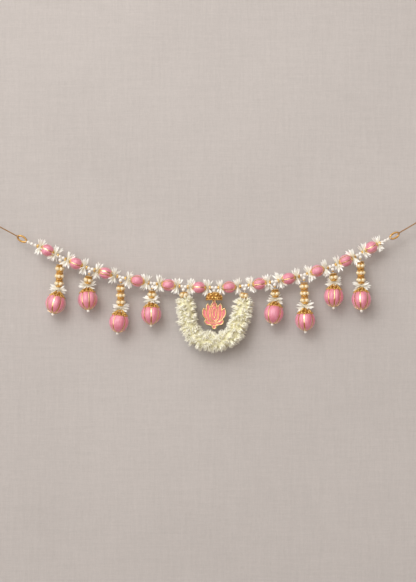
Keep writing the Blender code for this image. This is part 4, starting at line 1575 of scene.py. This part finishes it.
def stage_sheet(name, corners, finish):
    bm = bmesh.new()
    bm.faces.new([bm.verts.new(corner) for corner in corners])
    mesh = as_mesh(bm, name)
    mesh.materials.append(finish)
    made = bpy.data.objects.new(name, mesh)
    bpy.context.scene.collection.objects.link(made)
    return made


def surround(settings):
    """Even light that is stronger above than below, and a broad window in front on the left."""
    world = bpy.data.worlds.new("Surround")
    world.use_nodes = True
    nodes = Nodes(world.node_tree)
    direction = nodes.node("ShaderNodeTexCoord").outputs["Generated"]
    parts = nodes.node("ShaderNodeSeparateXYZ", {"Vector": direction}).outputs
    over_floor = nodes.ramp(parts["Z"], -0.32, -0.18)
    in_front = nodes.span(parts["Y"], 1, 0, -0.45, 0.0)
    on_left = nodes.span(parts["X"], 1, 0, -0.02, 0.40)
    window = nodes.times(nodes.times(over_floor, in_front), on_left)
    even = nodes.span(parts["Z"], settings.below, settings.above, -0.5, 0.5)
    glow = world.node_tree.nodes["Background"]
    strength = nodes.plus(even, nodes.times(window, settings.window))
    nodes.feed(glow.inputs["Strength"], strength)
    bounce = nodes.blend(nodes.ramp(parts["Z"], -0.3, 0.3), (1.0, 0.60, 0.42), (1.0, 0.83, 0.66))
    nodes.feed(glow.inputs["Color"], nodes.blend(window, bounce, (0.99, 0.99, 0.98)))
    return world


def add_key_light(power):
    data = bpy.data.lights.new("Key", "AREA")
    data.shape = "RECTANGLE"
    data.size, data.size_y = KEY_SIZE
    data.energy = power
    data.color = KEY_TONE
    made = bpy.data.objects.new("Key", data)
    turn = (AIM - KEY_PLACE).to_track_quat("-Z", "Y").to_matrix().to_4x4()
    made.matrix_world = Matrix.Translation(KEY_PLACE) @ turn
    bpy.context.scene.collection.objects.link(made)


class TORAN_OT_stage(bpy.types.Operator):
    """Sets up the wall, the floor, soft lights and the camera"""
    bl_idname = "toran.stage"
    bl_label = "Wall, lights and camera"

    def execute(self, context):
        settings = context.scene.toran.stage
        scene = context.scene
        stage_sheet("Wall", [(-4, WALL_Y, FLOOR_Z), (4, WALL_Y, FLOOR_Z), (4, WALL_Y, 3),
                             (-4, WALL_Y, 3)], one_sided(cloth_wall(settings)))
        stage_sheet("Floor", [(-6, -7, FLOOR_Z), (6, -7, FLOOR_Z), (6, 7, FLOOR_Z),
                              (-6, 7, FLOOR_Z)], cloth_wall(settings)).visible_glossy = False
        add_key_light(settings.key)
        scene.world = surround(settings)
        scene.view_settings.view_transform = "Standard"
        camera = bpy.data.cameras.new("Camera")
        camera.lens = settings.lens
        camera.sensor_width = 36
        camera.clip_start = 0.05
        camera.clip_end = 40
        holder = bpy.data.objects.new("Camera", camera)
        distance = VIEW_HEIGHT / 2 * settings.lens / (camera.sensor_width / 2)
        holder.matrix_world = Matrix.Translation((0, -distance, CAMERA_Z)) @ Matrix.Rotation(
            math.pi / 2, 4, "X")
        scene.collection.objects.link(holder)
        scene.camera = holder
        return {"FINISHED"}


class TORAN_PT_panel(bpy.types.Panel):
    """Lists the pieces of the toran"""
    bl_label = "Toran Door Hanging"
    bl_idname = "TORAN_PT_panel"
    bl_space_type = "VIEW_3D"
    bl_region_type = "UI"
    bl_category = "Toran"

    def draw(self, context):
        settings = context.scene.toran
        for group in ("balls", "flowers", "metal", "stage"):
            box = self.layout.box()
            box.label(text=group.capitalize())
            for name in getattr(settings, group).__annotations__:
                box.prop(getattr(settings, group), name)
        for operator in OPERATORS:
            self.layout.operator(operator.bl_idname)


OPERATORS = (TORAN_OT_stage, TORAN_OT_ties, TORAN_OT_string_balls, TORAN_OT_line_tufts,
             TORAN_OT_line_beads, TORAN_OT_drop_balls, TORAN_OT_drop_strands, TORAN_OT_garland,
             TORAN_OT_plaque)
CLASSES = (ToranBallSettings, ToranFlowerSettings, ToranMetalSettings, ToranStageSettings,
           ToranSettings, *OPERATORS, TORAN_PT_panel)


def register():
    for each in CLASSES:
        bpy.utils.register_class(each)
    bpy.types.Scene.toran = PointerProperty(type=ToranSettings)


def unregister():
    del bpy.types.Scene.toran
    for each in reversed(CLASSES):
        bpy.utils.unregister_class(each)


def main():
    register()
    bpy.ops.toran.stage()
    bpy.ops.toran.ties()
    bpy.ops.toran.string_balls()
    bpy.ops.toran.line_tufts()
    bpy.ops.toran.line_beads()
    bpy.ops.toran.drop_balls()
    bpy.ops.toran.drop_strands()
    bpy.ops.toran.garland()
    bpy.ops.toran.plaque()
    bpy.context.view_layer.update()


if __name__ == "__main__":
    main()
